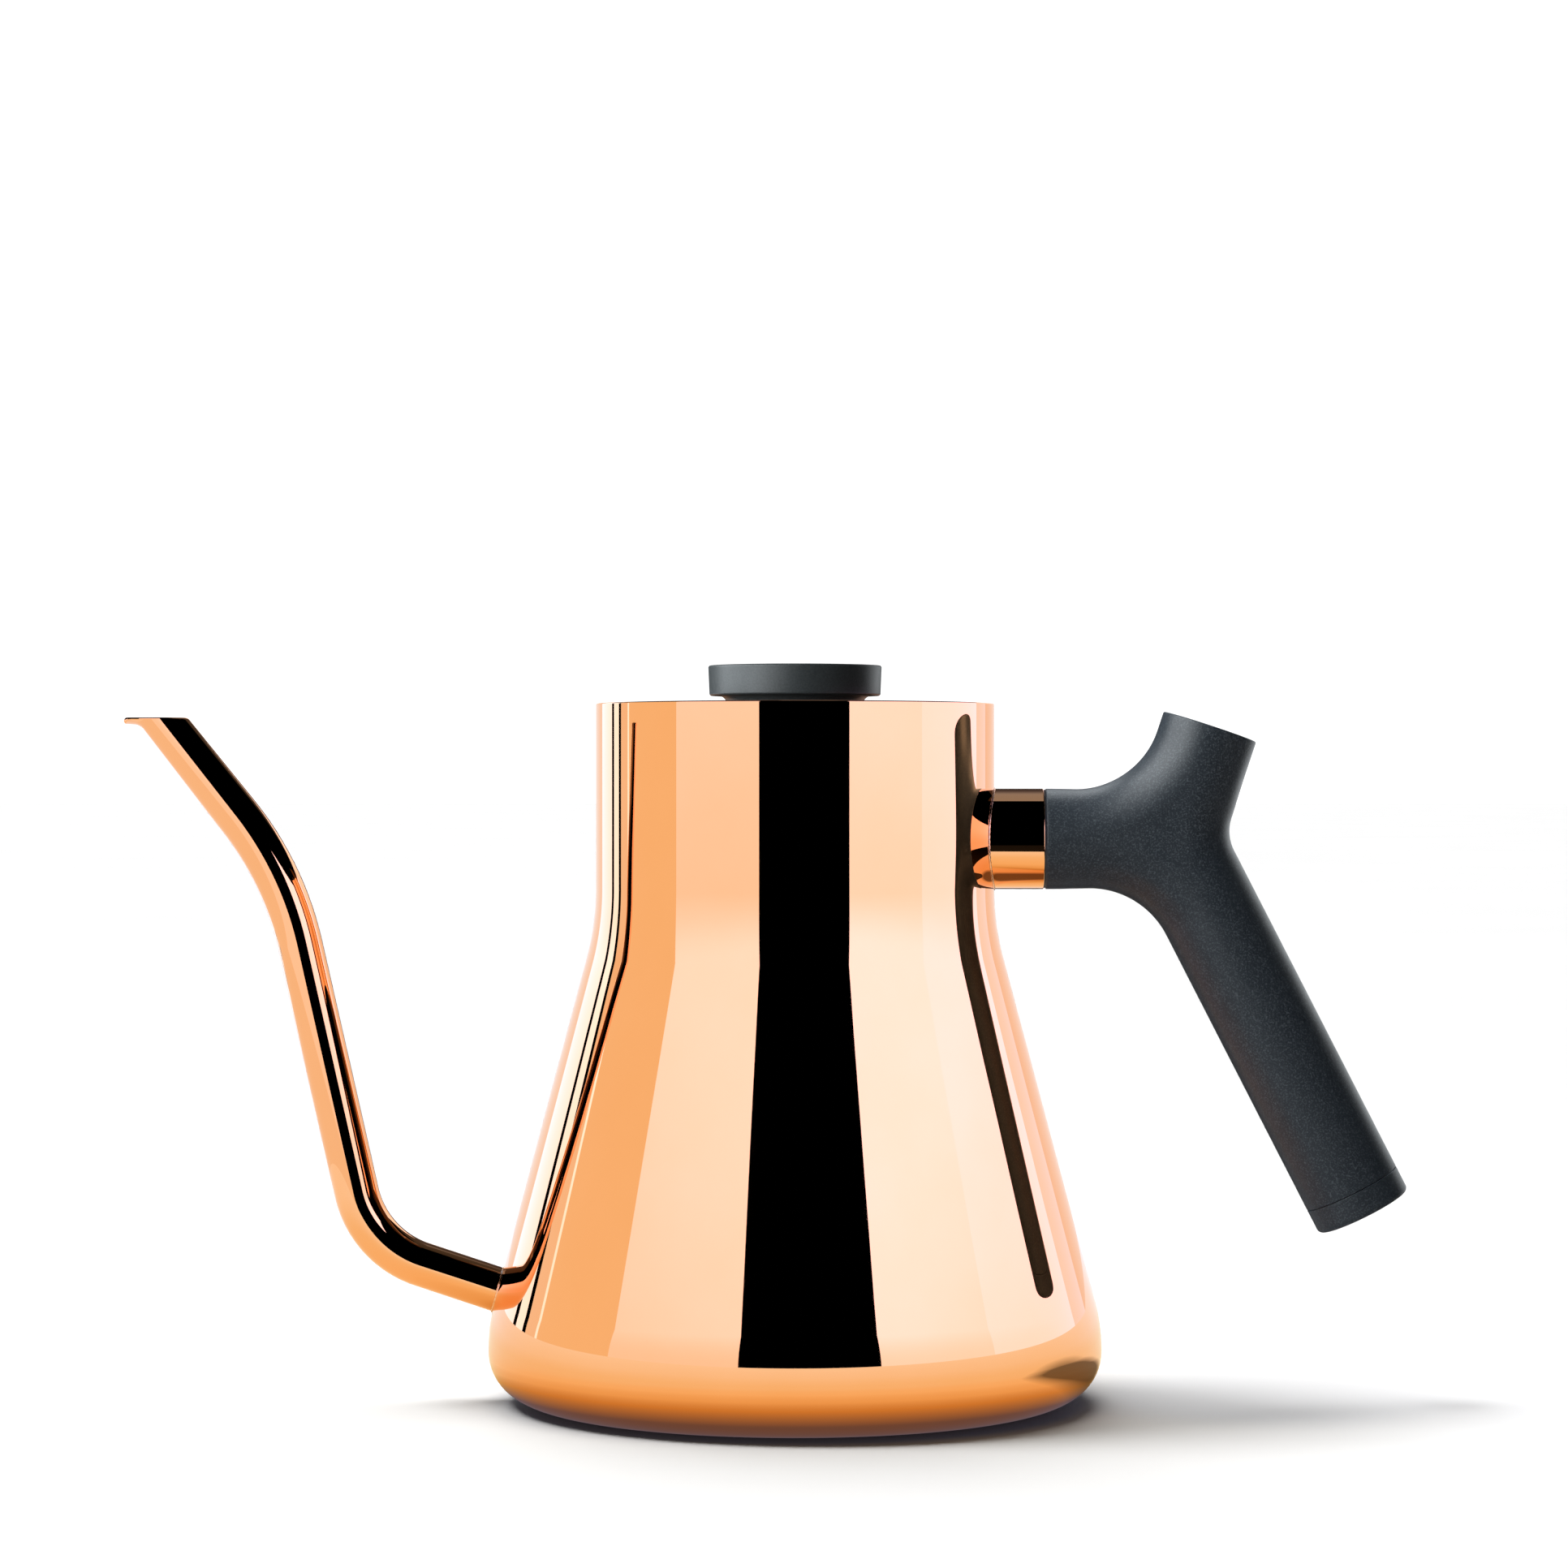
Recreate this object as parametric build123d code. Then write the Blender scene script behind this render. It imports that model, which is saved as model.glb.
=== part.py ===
from build123d import *
import os
from math import atan2, cos, degrees, hypot, radians, sin, tan

# Gooseneck kettle for pour-over coffee, about one litre, heated on a stove.
# The origin is the centre of the base, on the surface that the kettle stands on.
# +Z is up, the spout points to -X and the handle to +X. All sizes are in millimetres.

# --- body: a cylinder above, a cone below, and a rolled foot round the base disc ---
WALL = 0.8
RIM_RADIUS = 45.4
RIM_HEIGHT = 159.0
KNEE_HEIGHT = 109.0
KNEE_BEND = 60.0
CONE_ANGLE = 14.96
WIDEST_RADIUS = 69.8
WAIST_BEND = 43.0
ROLL_RADIUS = 11.4
ROLL_TURN = 60.0
DISC_RADIUS = 50.0
GROOVE_INNER = 38.0
GROOVE_OUTER = 44.0
GROOVE_DEPTH = 0.5

# --- mouth collar that the lid rests on ---
COLLAR_LEDGE_HEIGHT = 155.1
COLLAR_MOUTH_RADIUS = 38.2
COLLAR_FLANGE_DEPTH = 5.7
COLLAR_LIP_DEPTH = 5.2

# --- spout: a bent tube in the plane Y = 0 ---
SPOUT_RADIUS = 5.1
SPOUT_TIP_RADIUS = 4.8
SPOUT_ROOT_X = -60.0
SPOUT_ROOT_SLOPE = 18.2
LOWER_BEND_X, LOWER_BEND_Z = -97.4, 34.9
UPPER_BEND_X, UPPER_BEND_Z = -116.9, 120.3
LOWER_BEND_RADIUS = 22.5
UPPER_BEND_RADIUS = 74.0
TIP_LEAN = 38.5
OUTLET_HEIGHT = 155.9
BEND_STUB = 2.0
LIP_START = 0.61
LIP_BEND = 2.4
LIP_TURN = 48.0
LIP_REACH = 1.9
LIP_NOSE_RADIUS = 0.75
LIP_INNER_BEND = 5.0
LIP_INNER_TURN = 30.0
LIP_INNER_REACH = 1.5
CUT_SIZE = 60.0
BEAD_WIDTH = 0.35
BEAD_LENGTH = 0.6

# --- neck between the body and the handle ---
NECK_HEIGHT = 128.2
NECK_RADIUS = 11.45
NECK_END_X = 56.6
NECK_BORE_RADIUS = 9.1
BOSS_RADIUS = 9.0
STUD_RADIUS = 6.0
STUD_END_X = 91.0
NECK_GASKET_THICKNESS = 0.4
NECK_GASKET_RADIUS = 11.2

# --- handle: a neck, an upper arm for the thumb and a long grip, meeting at the fork ---
FORK_X = 86.0
ARM_LEAN = 18.4
ARM_LENGTH = 26.9
ARM_RADIUS = 11.05
GRIP_LEAN = 27.1
GRIP_LENGTH = 89.1
GRIP_RADIUS = 11.25
HANDLE_BEND = 31.0
CORE_INSET = 0.03
CORE_SHORTENING = 1.0
NECK_TAPER_LENGTH = 13.0
FIT_GAP = 0.05
SCREW_RADIUS = 2.5
SCREW_TIP_RADIUS = 2.0
SCREW_START = 4.6
SCREW_LENGTH = 13.0
SCREW_TIP_LENGTH = 2.6
SCREW_HEX_RADIUS = 1.45
SCREW_HEX_DEPTH = 3.0
SCREW_CHAMFER = 0.5
CUT_MARGIN = 1.0
ACCESS_BORE_RADIUS = 6.0
ACCESS_BORE_START = 20.0
WEIGHT_BORE_RADIUS = 8.0
WEIGHT_BORE_START = 54.0
WEIGHT_RADIUS = 7.8
WASHER_HOLE_RADIUS = 3.0
WEIGHT_WASHER_THICKNESS = 2.0
WEIGHT_LENGTH = 28.8
CAP_LENGTH = 6.1
CAP_DOME = 0.7
CAP_CORNER = 1.1
CAP_SPIGOT_RADIUS = 7.9
CAP_SPIGOT_LENGTH = 4.1
O_RING_GROOVE_RADIUS = 6.5
O_RING_CENTRE_RADIUS = 7.22
O_RING_SECTION_RADIUS = 0.7
O_RING_GROOVE_WIDTH = 1.6
O_RING_GROOVE_CENTRE = 2.1
CAP_SEAM_CHAMFER = 0.2

# --- lid ---
LID_RADIUS = 44.0
LID_TOP_HEIGHT = 158.3
LID_CORNER = 2.5
LID_SEAT_GAP = 0.05
VENT_COUNT = 3
VENT_PITCH_RADIUS = 27.0
VENT_SPACING_ANGLE = 14.0
VENT_RADIUS = 1.3
LINER_FLANGE_RADIUS = 43.0
LINER_PLUG_RADIUS = 36.2
LINER_HOLLOW_RADIUS = 32.5
LINER_BOTTOM_HEIGHT = 149.4
LINER_FLANGE_BOTTOM = 155.6
LINER_FLOOR_THICKNESS = 1.6
LINER_HUB_RADIUS = 8.0
GASKET_GROOVE_RADIUS = 34.5
GASKET_GROOVE_BOTTOM = 151.0
GASKET_GROOVE_TOP = 154.2
GASKET_GAP = 0.15
GASKET_RADIUS = 37.9
GASKET_ROOT = 0.4
GASKET_FIN = 0.3
GASKET_FIN_SLOPE = 0.7
GASKET_FIN_GAP = 0.1

# --- thermometer that forms the knob ---
BUSH_RADIUS = 4.0
BUSH_BOTTOM_HEIGHT = 144.9
BUSH_FLANGE_RADIUS = 7.0
BUSH_FLANGE_THICKNESS = 0.9
CASE_FOOT_RADIUS = 15.6
CASE_BOTTOM_RADIUS = 19.5
CASE_TOP_RADIUS = 19.8
CASE_SKIRT_HEIGHT = 160.8
CASE_TOP_HEIGHT = 167.7
CASE_CHAMFER = 0.4
CASE_FOOT_RISE = 0.9
CASE_HOLLOW_INSET = 1.3
CASE_HOLLOW_BEND = 2.4
CASE_FLOOR_HEIGHT = 163.0
BUSH_SEAT_HEIGHT = 162.0
LENS_LEDGE_HEIGHT = 165.6
DIAL_WELL_RADIUS = 16.6
LENS_WELL_RADIUS = 17.6
LENS_RADIUS = 17.5
LENS_GASKET_THICKNESS = 0.3
LENS_THICKNESS = 1.1
BEZEL_THICKNESS = 0.6
BEZEL_BORE_RADIUS = 16.3
DIAL_RADIUS = 16.4
DIAL_THICKNESS = 0.4
DIAL_HOLE_RADIUS = 1.0
STEM_RADIUS = 2.0
STEM_BORE_RADIUS = 1.6
STEM_BOTTOM_HEIGHT = 62.0
STEM_TOP_HEIGHT = 162.4
STEM_END_THICKNESS = 1.0
STEM_CHAMFER = 0.6
SHAFT_RADIUS = 0.4
SHAFT_GAP = 0.05
SHAFT_BOTTOM_HEIGHT = 84.6
SHAFT_TOP_HEIGHT = 164.7
POINTER_HEIGHT = 164.2
POINTER_THICKNESS = 0.3
POINTER_REACH = 13.6
POINTER_TAIL = 4.5
POINTER_WIDTH = 1.3
POINTER_HUB_RADIUS = 1.6
POINTER_HUB_STEP = 0.2
COIL_RADIUS = 1.1
COIL_PITCH = 2.0
COIL_WIRE_RADIUS = 0.25
COIL_TURNS = 10
COIL_LIFT = 0.5
NUT_WIDTH = 13.0
NUT_HEIGHT = 3.2
SEAL_RADIUS = 6.5
SEAL_THICKNESS = 0.4


def turned(outline):
    """Solid made by turning a closed outline of (radius, height) round the Z axis."""
    return revolve(Plane.XZ * make_face(outline), Axis.Z)


def ring(inner, outer, bottom, top):
    """Flat ring or, with an inner radius of 0, a disc."""
    return turned(Polyline((inner, bottom), (outer, bottom), (outer, top), (inner, top), close=True))


def rod_along(plane, radius, start, end, inner=0.0):
    """Round rod or tube on a plane's Z axis, from start to end along that axis."""
    return plane * ring(inner, radius, start, end)


# ------------------------------------------------------------------ body
CONE_SLOPE = tan(radians(CONE_ANGLE))


def polar(centre, radius, angle):
    """Point at a radius and an angle in degrees from a centre, in the (radius, height) half plane."""
    return (centre[0] + radius * cos(radians(angle)), centre[1] + radius * sin(radians(angle)))


def arc_about(centre, radius, start, end):
    """Arc round a centre between two angles in degrees."""
    angles = (start, (start + end) / 2, end)
    return ThreePointArc(*[polar(centre, radius, angle) for angle in angles])


def cone_radius(height):
    """Radius of the outer cone at a height."""
    return RIM_RADIUS + (KNEE_HEIGHT - height) * CONE_SLOPE


waist_radius = WIDEST_RADIUS - WAIST_BEND * (1 - cos(radians(CONE_ANGLE)))
WIDEST_HEIGHT = KNEE_HEIGHT - (waist_radius - RIM_RADIUS) / CONE_SLOPE - WAIST_BEND * sin(radians(CONE_ANGLE))
roll_drop = sin(radians(ROLL_TURN))
FOOT_RADIUS = (WIDEST_HEIGHT - ROLL_RADIUS * roll_drop) / (1 - roll_drop)
waist_centre = (WIDEST_RADIUS - WAIST_BEND, WIDEST_HEIGHT)
roll_centre = (WIDEST_RADIUS - ROLL_RADIUS, WIDEST_HEIGHT)
foot_centre = polar(roll_centre, FOOT_RADIUS - ROLL_RADIUS, 180 - ROLL_TURN)


def body_core(inset, top):
    """Solid inside the body's surface, moved inward by inset: cylinder, cone, waist, roll and foot."""
    radius = RIM_RADIUS - inset
    cone_end = polar(waist_centre, WAIST_BEND - inset, CONE_ANGLE)
    knee = (radius, cone_end[1] + (cone_end[0] - radius) / CONE_SLOPE)
    wall = (FilletPolyline((radius, top), knee, cone_end, radius=KNEE_BEND + inset)
            + arc_about(waist_centre, WAIST_BEND - inset, CONE_ANGLE, 0)
            + arc_about(roll_centre, ROLL_RADIUS - inset, 0, -ROLL_TURN)
            + arc_about(foot_centre, FOOT_RADIUS - inset, -ROLL_TURN, -90))
    return turned(wall + Polyline((foot_centre[0], inset), (0, inset), (0, top), (radius, top)))


def base_disc():
    """Pressed disc with a shallow ring groove, butt welded into the foot of the body."""
    def flat(level):
        """The disc's face at a level, with its raised ring, from the middle outwards."""
        raised = level + GROOVE_DEPTH
        return [(0, level), (GROOVE_INNER, level), (GROOVE_INNER + 1, raised),
                (GROOVE_OUTER - 1, raised), (GROOVE_OUTER, level), (DISC_RADIUS, level)]
    return turned(Polyline(*flat(0), *reversed(flat(WALL)), close=True))


def mouth_collar():
    """Pressed collar inside the rim: outer flange, flat ledge and a lip round the mouth."""
    outer = RIM_RADIUS - WALL
    top = COLLAR_LEDGE_HEIGHT
    return turned(Polyline(
        (outer, top - COLLAR_FLANGE_DEPTH), (outer, top), (COLLAR_MOUTH_RADIUS, top),
        (COLLAR_MOUTH_RADIUS, top - COLLAR_LIP_DEPTH), (COLLAR_MOUTH_RADIUS + WALL, top - COLLAR_LIP_DEPTH),
        (COLLAR_MOUTH_RADIUS + WALL, top - WALL), (outer - WALL, top - WALL),
        (outer - WALL, top - COLLAR_FLANGE_DEPTH), close=True))


outside = body_core(0, RIM_HEIGHT)

# ------------------------------------------------------------------ spout
LEAN_SIN, LEAN_COS = sin(radians(TIP_LEAN)), cos(radians(TIP_LEAN))
MID_ANGLE = degrees(atan2(UPPER_BEND_Z - LOWER_BEND_Z, LOWER_BEND_X - UPPER_BEND_X))
UPPER_TURN = MID_ANGLE - (90 - TIP_LEAN)
BEND_END = UPPER_BEND_RADIUS * tan(radians(UPPER_TURN / 2)) + BEND_STUB
TIP_LENGTH = (OUTLET_HEIGHT - UPPER_BEND_Z) / LEAN_COS - BEND_END

root_drop = (SPOUT_ROOT_X - LOWER_BEND_X) * tan(radians(SPOUT_ROOT_SLOPE))
root_point = (SPOUT_ROOT_X, 0, LOWER_BEND_Z - root_drop)
tip_point = (UPPER_BEND_X - BEND_END * LEAN_SIN, 0, UPPER_BEND_Z + BEND_END * LEAN_COS)
root_plane = Plane(root_point, x_dir=(0, 1, 0),
                   z_dir=(-cos(radians(SPOUT_ROOT_SLOPE)), 0, sin(radians(SPOUT_ROOT_SLOPE))))
tip_plane = Plane(tip_point, x_dir=(0, 1, 0), z_dir=(-LEAN_SIN, 0, LEAN_COS))
ROOT_LENGTH = hypot(SPOUT_ROOT_X - LOWER_BEND_X, root_drop)


def bent_wall(radius, bend, turn, reach, start):
    """Bends a wall outward: centre of its bend, end of the bend, and end of the straight piece after it."""
    centre = (radius + bend, start)
    bend_end = polar(centre, bend, 180 - turn)
    return centre, bend_end, polar(bend_end, reach, 90 - turn)


def spout_tip():
    """Straight end of the spout, cut level: its front curls out into a pouring lip with a round nose."""
    flare = TIP_LENGTH + LIP_START
    bore = SPOUT_TIP_RADIUS - WALL
    centre, bend_end, nose_start = bent_wall(SPOUT_TIP_RADIUS, LIP_BEND, LIP_TURN, LIP_REACH, flare)
    inner_centre, inner_end, inner_top = bent_wall(bore, LIP_INNER_BEND, LIP_INNER_TURN, LIP_INNER_REACH, flare)
    nose_centre = polar(nose_start, LIP_NOSE_RADIUS, 180 - LIP_TURN)
    nose_top = polar(nose_centre, LIP_NOSE_RADIUS, 90 + TIP_LEAN)
    outline = (Line((SPOUT_RADIUS, 0), (SPOUT_TIP_RADIUS, flare))
               + arc_about(centre, LIP_BEND, 180, 180 - LIP_TURN)
               + Line(bend_end, nose_start)
               + arc_about(nose_centre, LIP_NOSE_RADIUS, -LIP_TURN, 90 + TIP_LEAN)
               + Polyline(nose_top, (nose_top[0], inner_top[1]), inner_top, inner_end)
               + arc_about(inner_centre, LIP_INNER_BEND, 180 - LIP_INNER_TURN, 180)
               + Polyline((bore, flare), (SPOUT_RADIUS - WALL, 0), (SPOUT_RADIUS, 0)))
    above = Pos(tip_point[0], 0, OUTLET_HEIGHT + CUT_SIZE / 2) * Box(CUT_SIZE, CUT_SIZE, CUT_SIZE)
    return tip_plane * turned(outline) - above


def spout_tube():
    """Whole spout, cut to the cone at its root."""
    path = FilletPolyline(root_point, (LOWER_BEND_X, 0, LOWER_BEND_Z), (UPPER_BEND_X, 0, UPPER_BEND_Z),
                          tip_point, radius=[LOWER_BEND_RADIUS, UPPER_BEND_RADIUS])
    section = root_plane * (Circle(SPOUT_RADIUS) - Circle(SPOUT_RADIUS - WALL))
    return sweep(section, path) + spout_tip() - outside


def spout_bead():
    """Thin weld round the root of the spout."""
    surface = (cone_radius(root_point[2]) + SPOUT_ROOT_X) / cos(radians(SPOUT_ROOT_SLOPE))
    ring_end = surface + BEAD_LENGTH
    return rod_along(root_plane, SPOUT_RADIUS + BEAD_WIDTH, 0, ring_end, inner=SPOUT_RADIUS) - outside


def body_shell():
    """Drawn shell with the spout's hole near its foot and a round opening for the base disc."""
    spout_hole = rod_along(root_plane, SPOUT_RADIUS - WALL, -SPOUT_RADIUS, ROOT_LENGTH)
    base_hole = ring(0, DISC_RADIUS, -CUT_MARGIN, WALL + CUT_MARGIN)
    return outside - body_core(WALL, RIM_HEIGHT + CUT_MARGIN) - spout_hole - base_hole


# ------------------------------------------------------------------ neck and handle
neck_plane = Plane((0, 0, NECK_HEIGHT), x_dir=(0, 1, 0), z_dir=(1, 0, 0))
grip_plane = Plane((FORK_X, 0, NECK_HEIGHT), x_dir=(0, 1, 0),
                   z_dir=(sin(radians(GRIP_LEAN)), 0, -cos(radians(GRIP_LEAN))))
arm_plane = Plane((FORK_X, 0, NECK_HEIGHT), x_dir=(0, 1, 0),
                  z_dir=(sin(radians(ARM_LEAN)), 0, cos(radians(ARM_LEAN))))
HANDLE_START_X = NECK_END_X + NECK_GASKET_THICKNESS
BODY_INSIDE_X = RIM_RADIUS - 6.0


def on_axis(plane, distance):
    """Point on a plane's Z axis at a distance from its origin."""
    return tuple(plane.from_local_coords((0, 0, distance)))


def handle_branch(plane, length, radius):
    """Neck bent round into an arm, with a straight core back to the fork, just inside its surface."""
    start = (HANDLE_START_X, 0, NECK_HEIGHT)
    path = FilletPolyline(start, (FORK_X, 0, NECK_HEIGHT), on_axis(plane, length), radius=HANDLE_BEND)
    section = Plane(start, x_dir=(0, 1, 0), z_dir=(1, 0, 0)) * Circle(radius)
    core = rod_along(plane, radius - CORE_INSET, 0, length - CORE_SHORTENING)
    return sweep(section, path) + core


def handle_shell():
    """Moulded handle with its stud bore, clamp screw hole and the bores inside the grip."""
    taper_end = HANDLE_START_X + NECK_TAPER_LENGTH
    collar = neck_plane * turned(Polyline(
        (0, HANDLE_START_X), (NECK_RADIUS, HANDLE_START_X),
        (GRIP_RADIUS, taper_end), (0, taper_end), close=True))
    solid = (handle_branch(grip_plane, GRIP_LENGTH, GRIP_RADIUS)
             + handle_branch(arm_plane, ARM_LENGTH, ARM_RADIUS) + collar)
    stud_bore = rod_along(neck_plane, STUD_RADIUS + FIT_GAP, HANDLE_START_X - CUT_MARGIN, STUD_END_X + FIT_GAP)
    screw_hole = rod_along(grip_plane, SCREW_RADIUS + FIT_GAP, 0, ACCESS_BORE_START + CUT_MARGIN)
    access = rod_along(grip_plane, ACCESS_BORE_RADIUS, ACCESS_BORE_START, WEIGHT_BORE_START + CUT_MARGIN)
    weight_bore = rod_along(grip_plane, WEIGHT_BORE_RADIUS, WEIGHT_BORE_START, GRIP_LENGTH + CUT_MARGIN)
    return solid - stud_bore - screw_hole - access - weight_bore


def handle_boss():
    """Boss welded to the body, with the stud that the handle slides onto and a dimple for the clamp screw."""
    turned_boss = neck_plane * turned(Polyline(
        (0, BODY_INSIDE_X), (BOSS_RADIUS, BODY_INSIDE_X), (BOSS_RADIUS, NECK_END_X),
        (STUD_RADIUS, NECK_END_X), (STUD_RADIUS, STUD_END_X), (0, STUD_END_X), close=True))
    dimple = rod_along(grip_plane, SCREW_RADIUS + FIT_GAP, SCREW_START - FIT_GAP, ACCESS_BORE_START)
    return turned_boss - dimple - outside


def neck_gasket():
    """Thin rubber washer between the sleeve and the handle."""
    bore = STUD_RADIUS + FIT_GAP
    return rod_along(neck_plane, NECK_GASKET_RADIUS, NECK_END_X, HANDLE_START_X, inner=bore)


def neck_sleeve():
    """Bright sleeve that covers the boss between the body and the handle."""
    return rod_along(neck_plane, NECK_RADIUS, BODY_INSIDE_X, NECK_END_X, inner=NECK_BORE_RADIUS) - outside


def sleeve_bead():
    """Thin weld line round the foot of the sleeve."""
    bead = rod_along(neck_plane, NECK_RADIUS + BEAD_WIDTH, BODY_INSIDE_X, RIM_RADIUS + 3, inner=NECK_RADIUS)
    return bead & (body_core(-BEAD_WIDTH, RIM_HEIGHT) - outside)


def clamp_screw():
    """Socket grub screw in the handle that bears on the stud, reached through the grip."""
    tip_end = SCREW_START + SCREW_TIP_LENGTH
    end = SCREW_START + SCREW_LENGTH
    screw = turned(Polyline((0, SCREW_START), (SCREW_TIP_RADIUS, SCREW_START), (SCREW_TIP_RADIUS, tip_end),
                            (SCREW_RADIUS, tip_end + SCREW_CHAMFER), (SCREW_RADIUS, end), (0, end), close=True))
    hexagon = RegularPolygon(SCREW_HEX_RADIUS, 6)
    socket = Pos(0, 0, end - SCREW_HEX_DEPTH) * extrude(hexagon, SCREW_HEX_DEPTH + CUT_MARGIN)
    return grip_plane * (screw - socket)


def end_cap():
    """Cap that closes the grip: a short spigot with a groove for its ring, and a softly domed end."""
    seam = GRIP_LENGTH
    end = seam + CAP_LENGTH
    inner = seam - CAP_SPIGOT_LENGTH
    groove_low = inner + O_RING_GROOVE_CENTRE - O_RING_GROOVE_WIDTH / 2
    groove_high = groove_low + O_RING_GROOVE_WIDTH
    corner = (GRIP_RADIUS - CAP_CORNER, end)
    side = Polyline(
        (0, inner), (CAP_SPIGOT_RADIUS, inner), (CAP_SPIGOT_RADIUS, groove_low),
        (O_RING_GROOVE_RADIUS, groove_low), (O_RING_GROOVE_RADIUS, groove_high),
        (CAP_SPIGOT_RADIUS, groove_high), (CAP_SPIGOT_RADIUS, seam), (GRIP_RADIUS - CAP_SEAM_CHAMFER, seam),
        (GRIP_RADIUS, seam + CAP_SEAM_CHAMFER), (GRIP_RADIUS, end - CAP_CORNER))
    edge = RadiusArc((GRIP_RADIUS, end - CAP_CORNER), corner, -CAP_CORNER)
    dome_radius = (corner[0] ** 2 + CAP_DOME ** 2) / (2 * CAP_DOME)
    dome = RadiusArc(corner, (0, end + CAP_DOME), -dome_radius)
    return grip_plane * turned(side + edge + dome + Line((0, end + CAP_DOME), (0, inner)))


def end_cap_o_ring():
    """Rubber ring in the groove of the cap's spigot."""
    centre = GRIP_LENGTH - CAP_SPIGOT_LENGTH + O_RING_GROOVE_CENTRE
    return grip_plane * (Pos(0, 0, centre) * Torus(O_RING_CENTRE_RADIUS, O_RING_SECTION_RADIUS))


WASHER_END = WEIGHT_BORE_START + WEIGHT_WASHER_THICKNESS

# ------------------------------------------------------------------ lid
vent_places = [(index - (VENT_COUNT - 1) / 2) * VENT_SPACING_ANGLE + 180 for index in range(VENT_COUNT)]


def vents():
    """Cutters for the row of steam vents in the lid."""
    drill = ring(0, VENT_RADIUS, LINER_BOTTOM_HEIGHT - CUT_MARGIN, LID_TOP_HEIGHT + CUT_MARGIN)
    return [Rot(0, 0, angle) * Pos(VENT_PITCH_RADIUS, 0, 0) * drill for angle in vent_places]


def lid_plate():
    """Thin disc with a rounded edge and a short skirt that rests on the collar."""
    top = LID_TOP_HEIGHT
    bore = BUSH_RADIUS + FIT_GAP
    shoulder = LID_RADIUS - LID_CORNER
    low = COLLAR_LEDGE_HEIGHT + LID_SEAT_GAP
    outer = (Line((bore, top), (shoulder, top))
             + RadiusArc((shoulder, top), (LID_RADIUS, top - LID_CORNER), LID_CORNER)
             + Polyline((LID_RADIUS, top - LID_CORNER), (LID_RADIUS, low), (LID_RADIUS - WALL, low),
                        (LID_RADIUS - WALL, top - LID_CORNER)))
    inner = (RadiusArc((shoulder, top - WALL), (LID_RADIUS - WALL, top - LID_CORNER), LID_CORNER - WALL)
             + Polyline((shoulder, top - WALL), (bore, top - WALL), (bore, top)))
    return turned(outer + inner) - vents()


def lid_liner():
    """Moulded plug under the plate: hollow, with a hub for the thermometer and a groove for the gasket."""
    top = LID_TOP_HEIGHT - WALL
    floor = LINER_BOTTOM_HEIGHT + LINER_FLOOR_THICKNESS
    bore = BUSH_RADIUS + FIT_GAP
    flange = LINER_FLANGE_RADIUS - LID_CORNER + WALL
    return turned(Polyline(
        (bore, LINER_BOTTOM_HEIGHT), (LINER_PLUG_RADIUS, LINER_BOTTOM_HEIGHT),
        (LINER_PLUG_RADIUS, GASKET_GROOVE_BOTTOM), (GASKET_GROOVE_RADIUS, GASKET_GROOVE_BOTTOM),
        (GASKET_GROOVE_RADIUS, GASKET_GROOVE_TOP), (LINER_PLUG_RADIUS, GASKET_GROOVE_TOP),
        (LINER_PLUG_RADIUS, LINER_FLANGE_BOTTOM), (flange, LINER_FLANGE_BOTTOM), (flange, top),
        (LINER_HOLLOW_RADIUS, top), (LINER_HOLLOW_RADIUS, floor), (LINER_HUB_RADIUS, floor),
        (LINER_HUB_RADIUS, top), (bore, top), close=True)) - vents()


def lid_gasket():
    """Soft ring with two sealing fins that grips the lip of the mouth."""
    inner = GASKET_GROOVE_RADIUS + GASKET_GAP
    low, high = GASKET_GROOVE_BOTTOM + GASKET_GAP, GASKET_GROOVE_TOP - GASKET_GAP
    root = LINER_PLUG_RADIUS + GASKET_ROOT
    middle = (low + high) / 2
    outer = []
    for start, end in ((low, middle - GASKET_FIN_GAP), (middle + GASKET_FIN_GAP, high)):
        fin = start + GASKET_FIN_SLOPE
        outer += [(root, start), (GASKET_RADIUS, fin), (GASKET_RADIUS, fin + GASKET_FIN), (root, end)]
    return turned(Polyline((inner, low), *outer, (inner, high), close=True))


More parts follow.
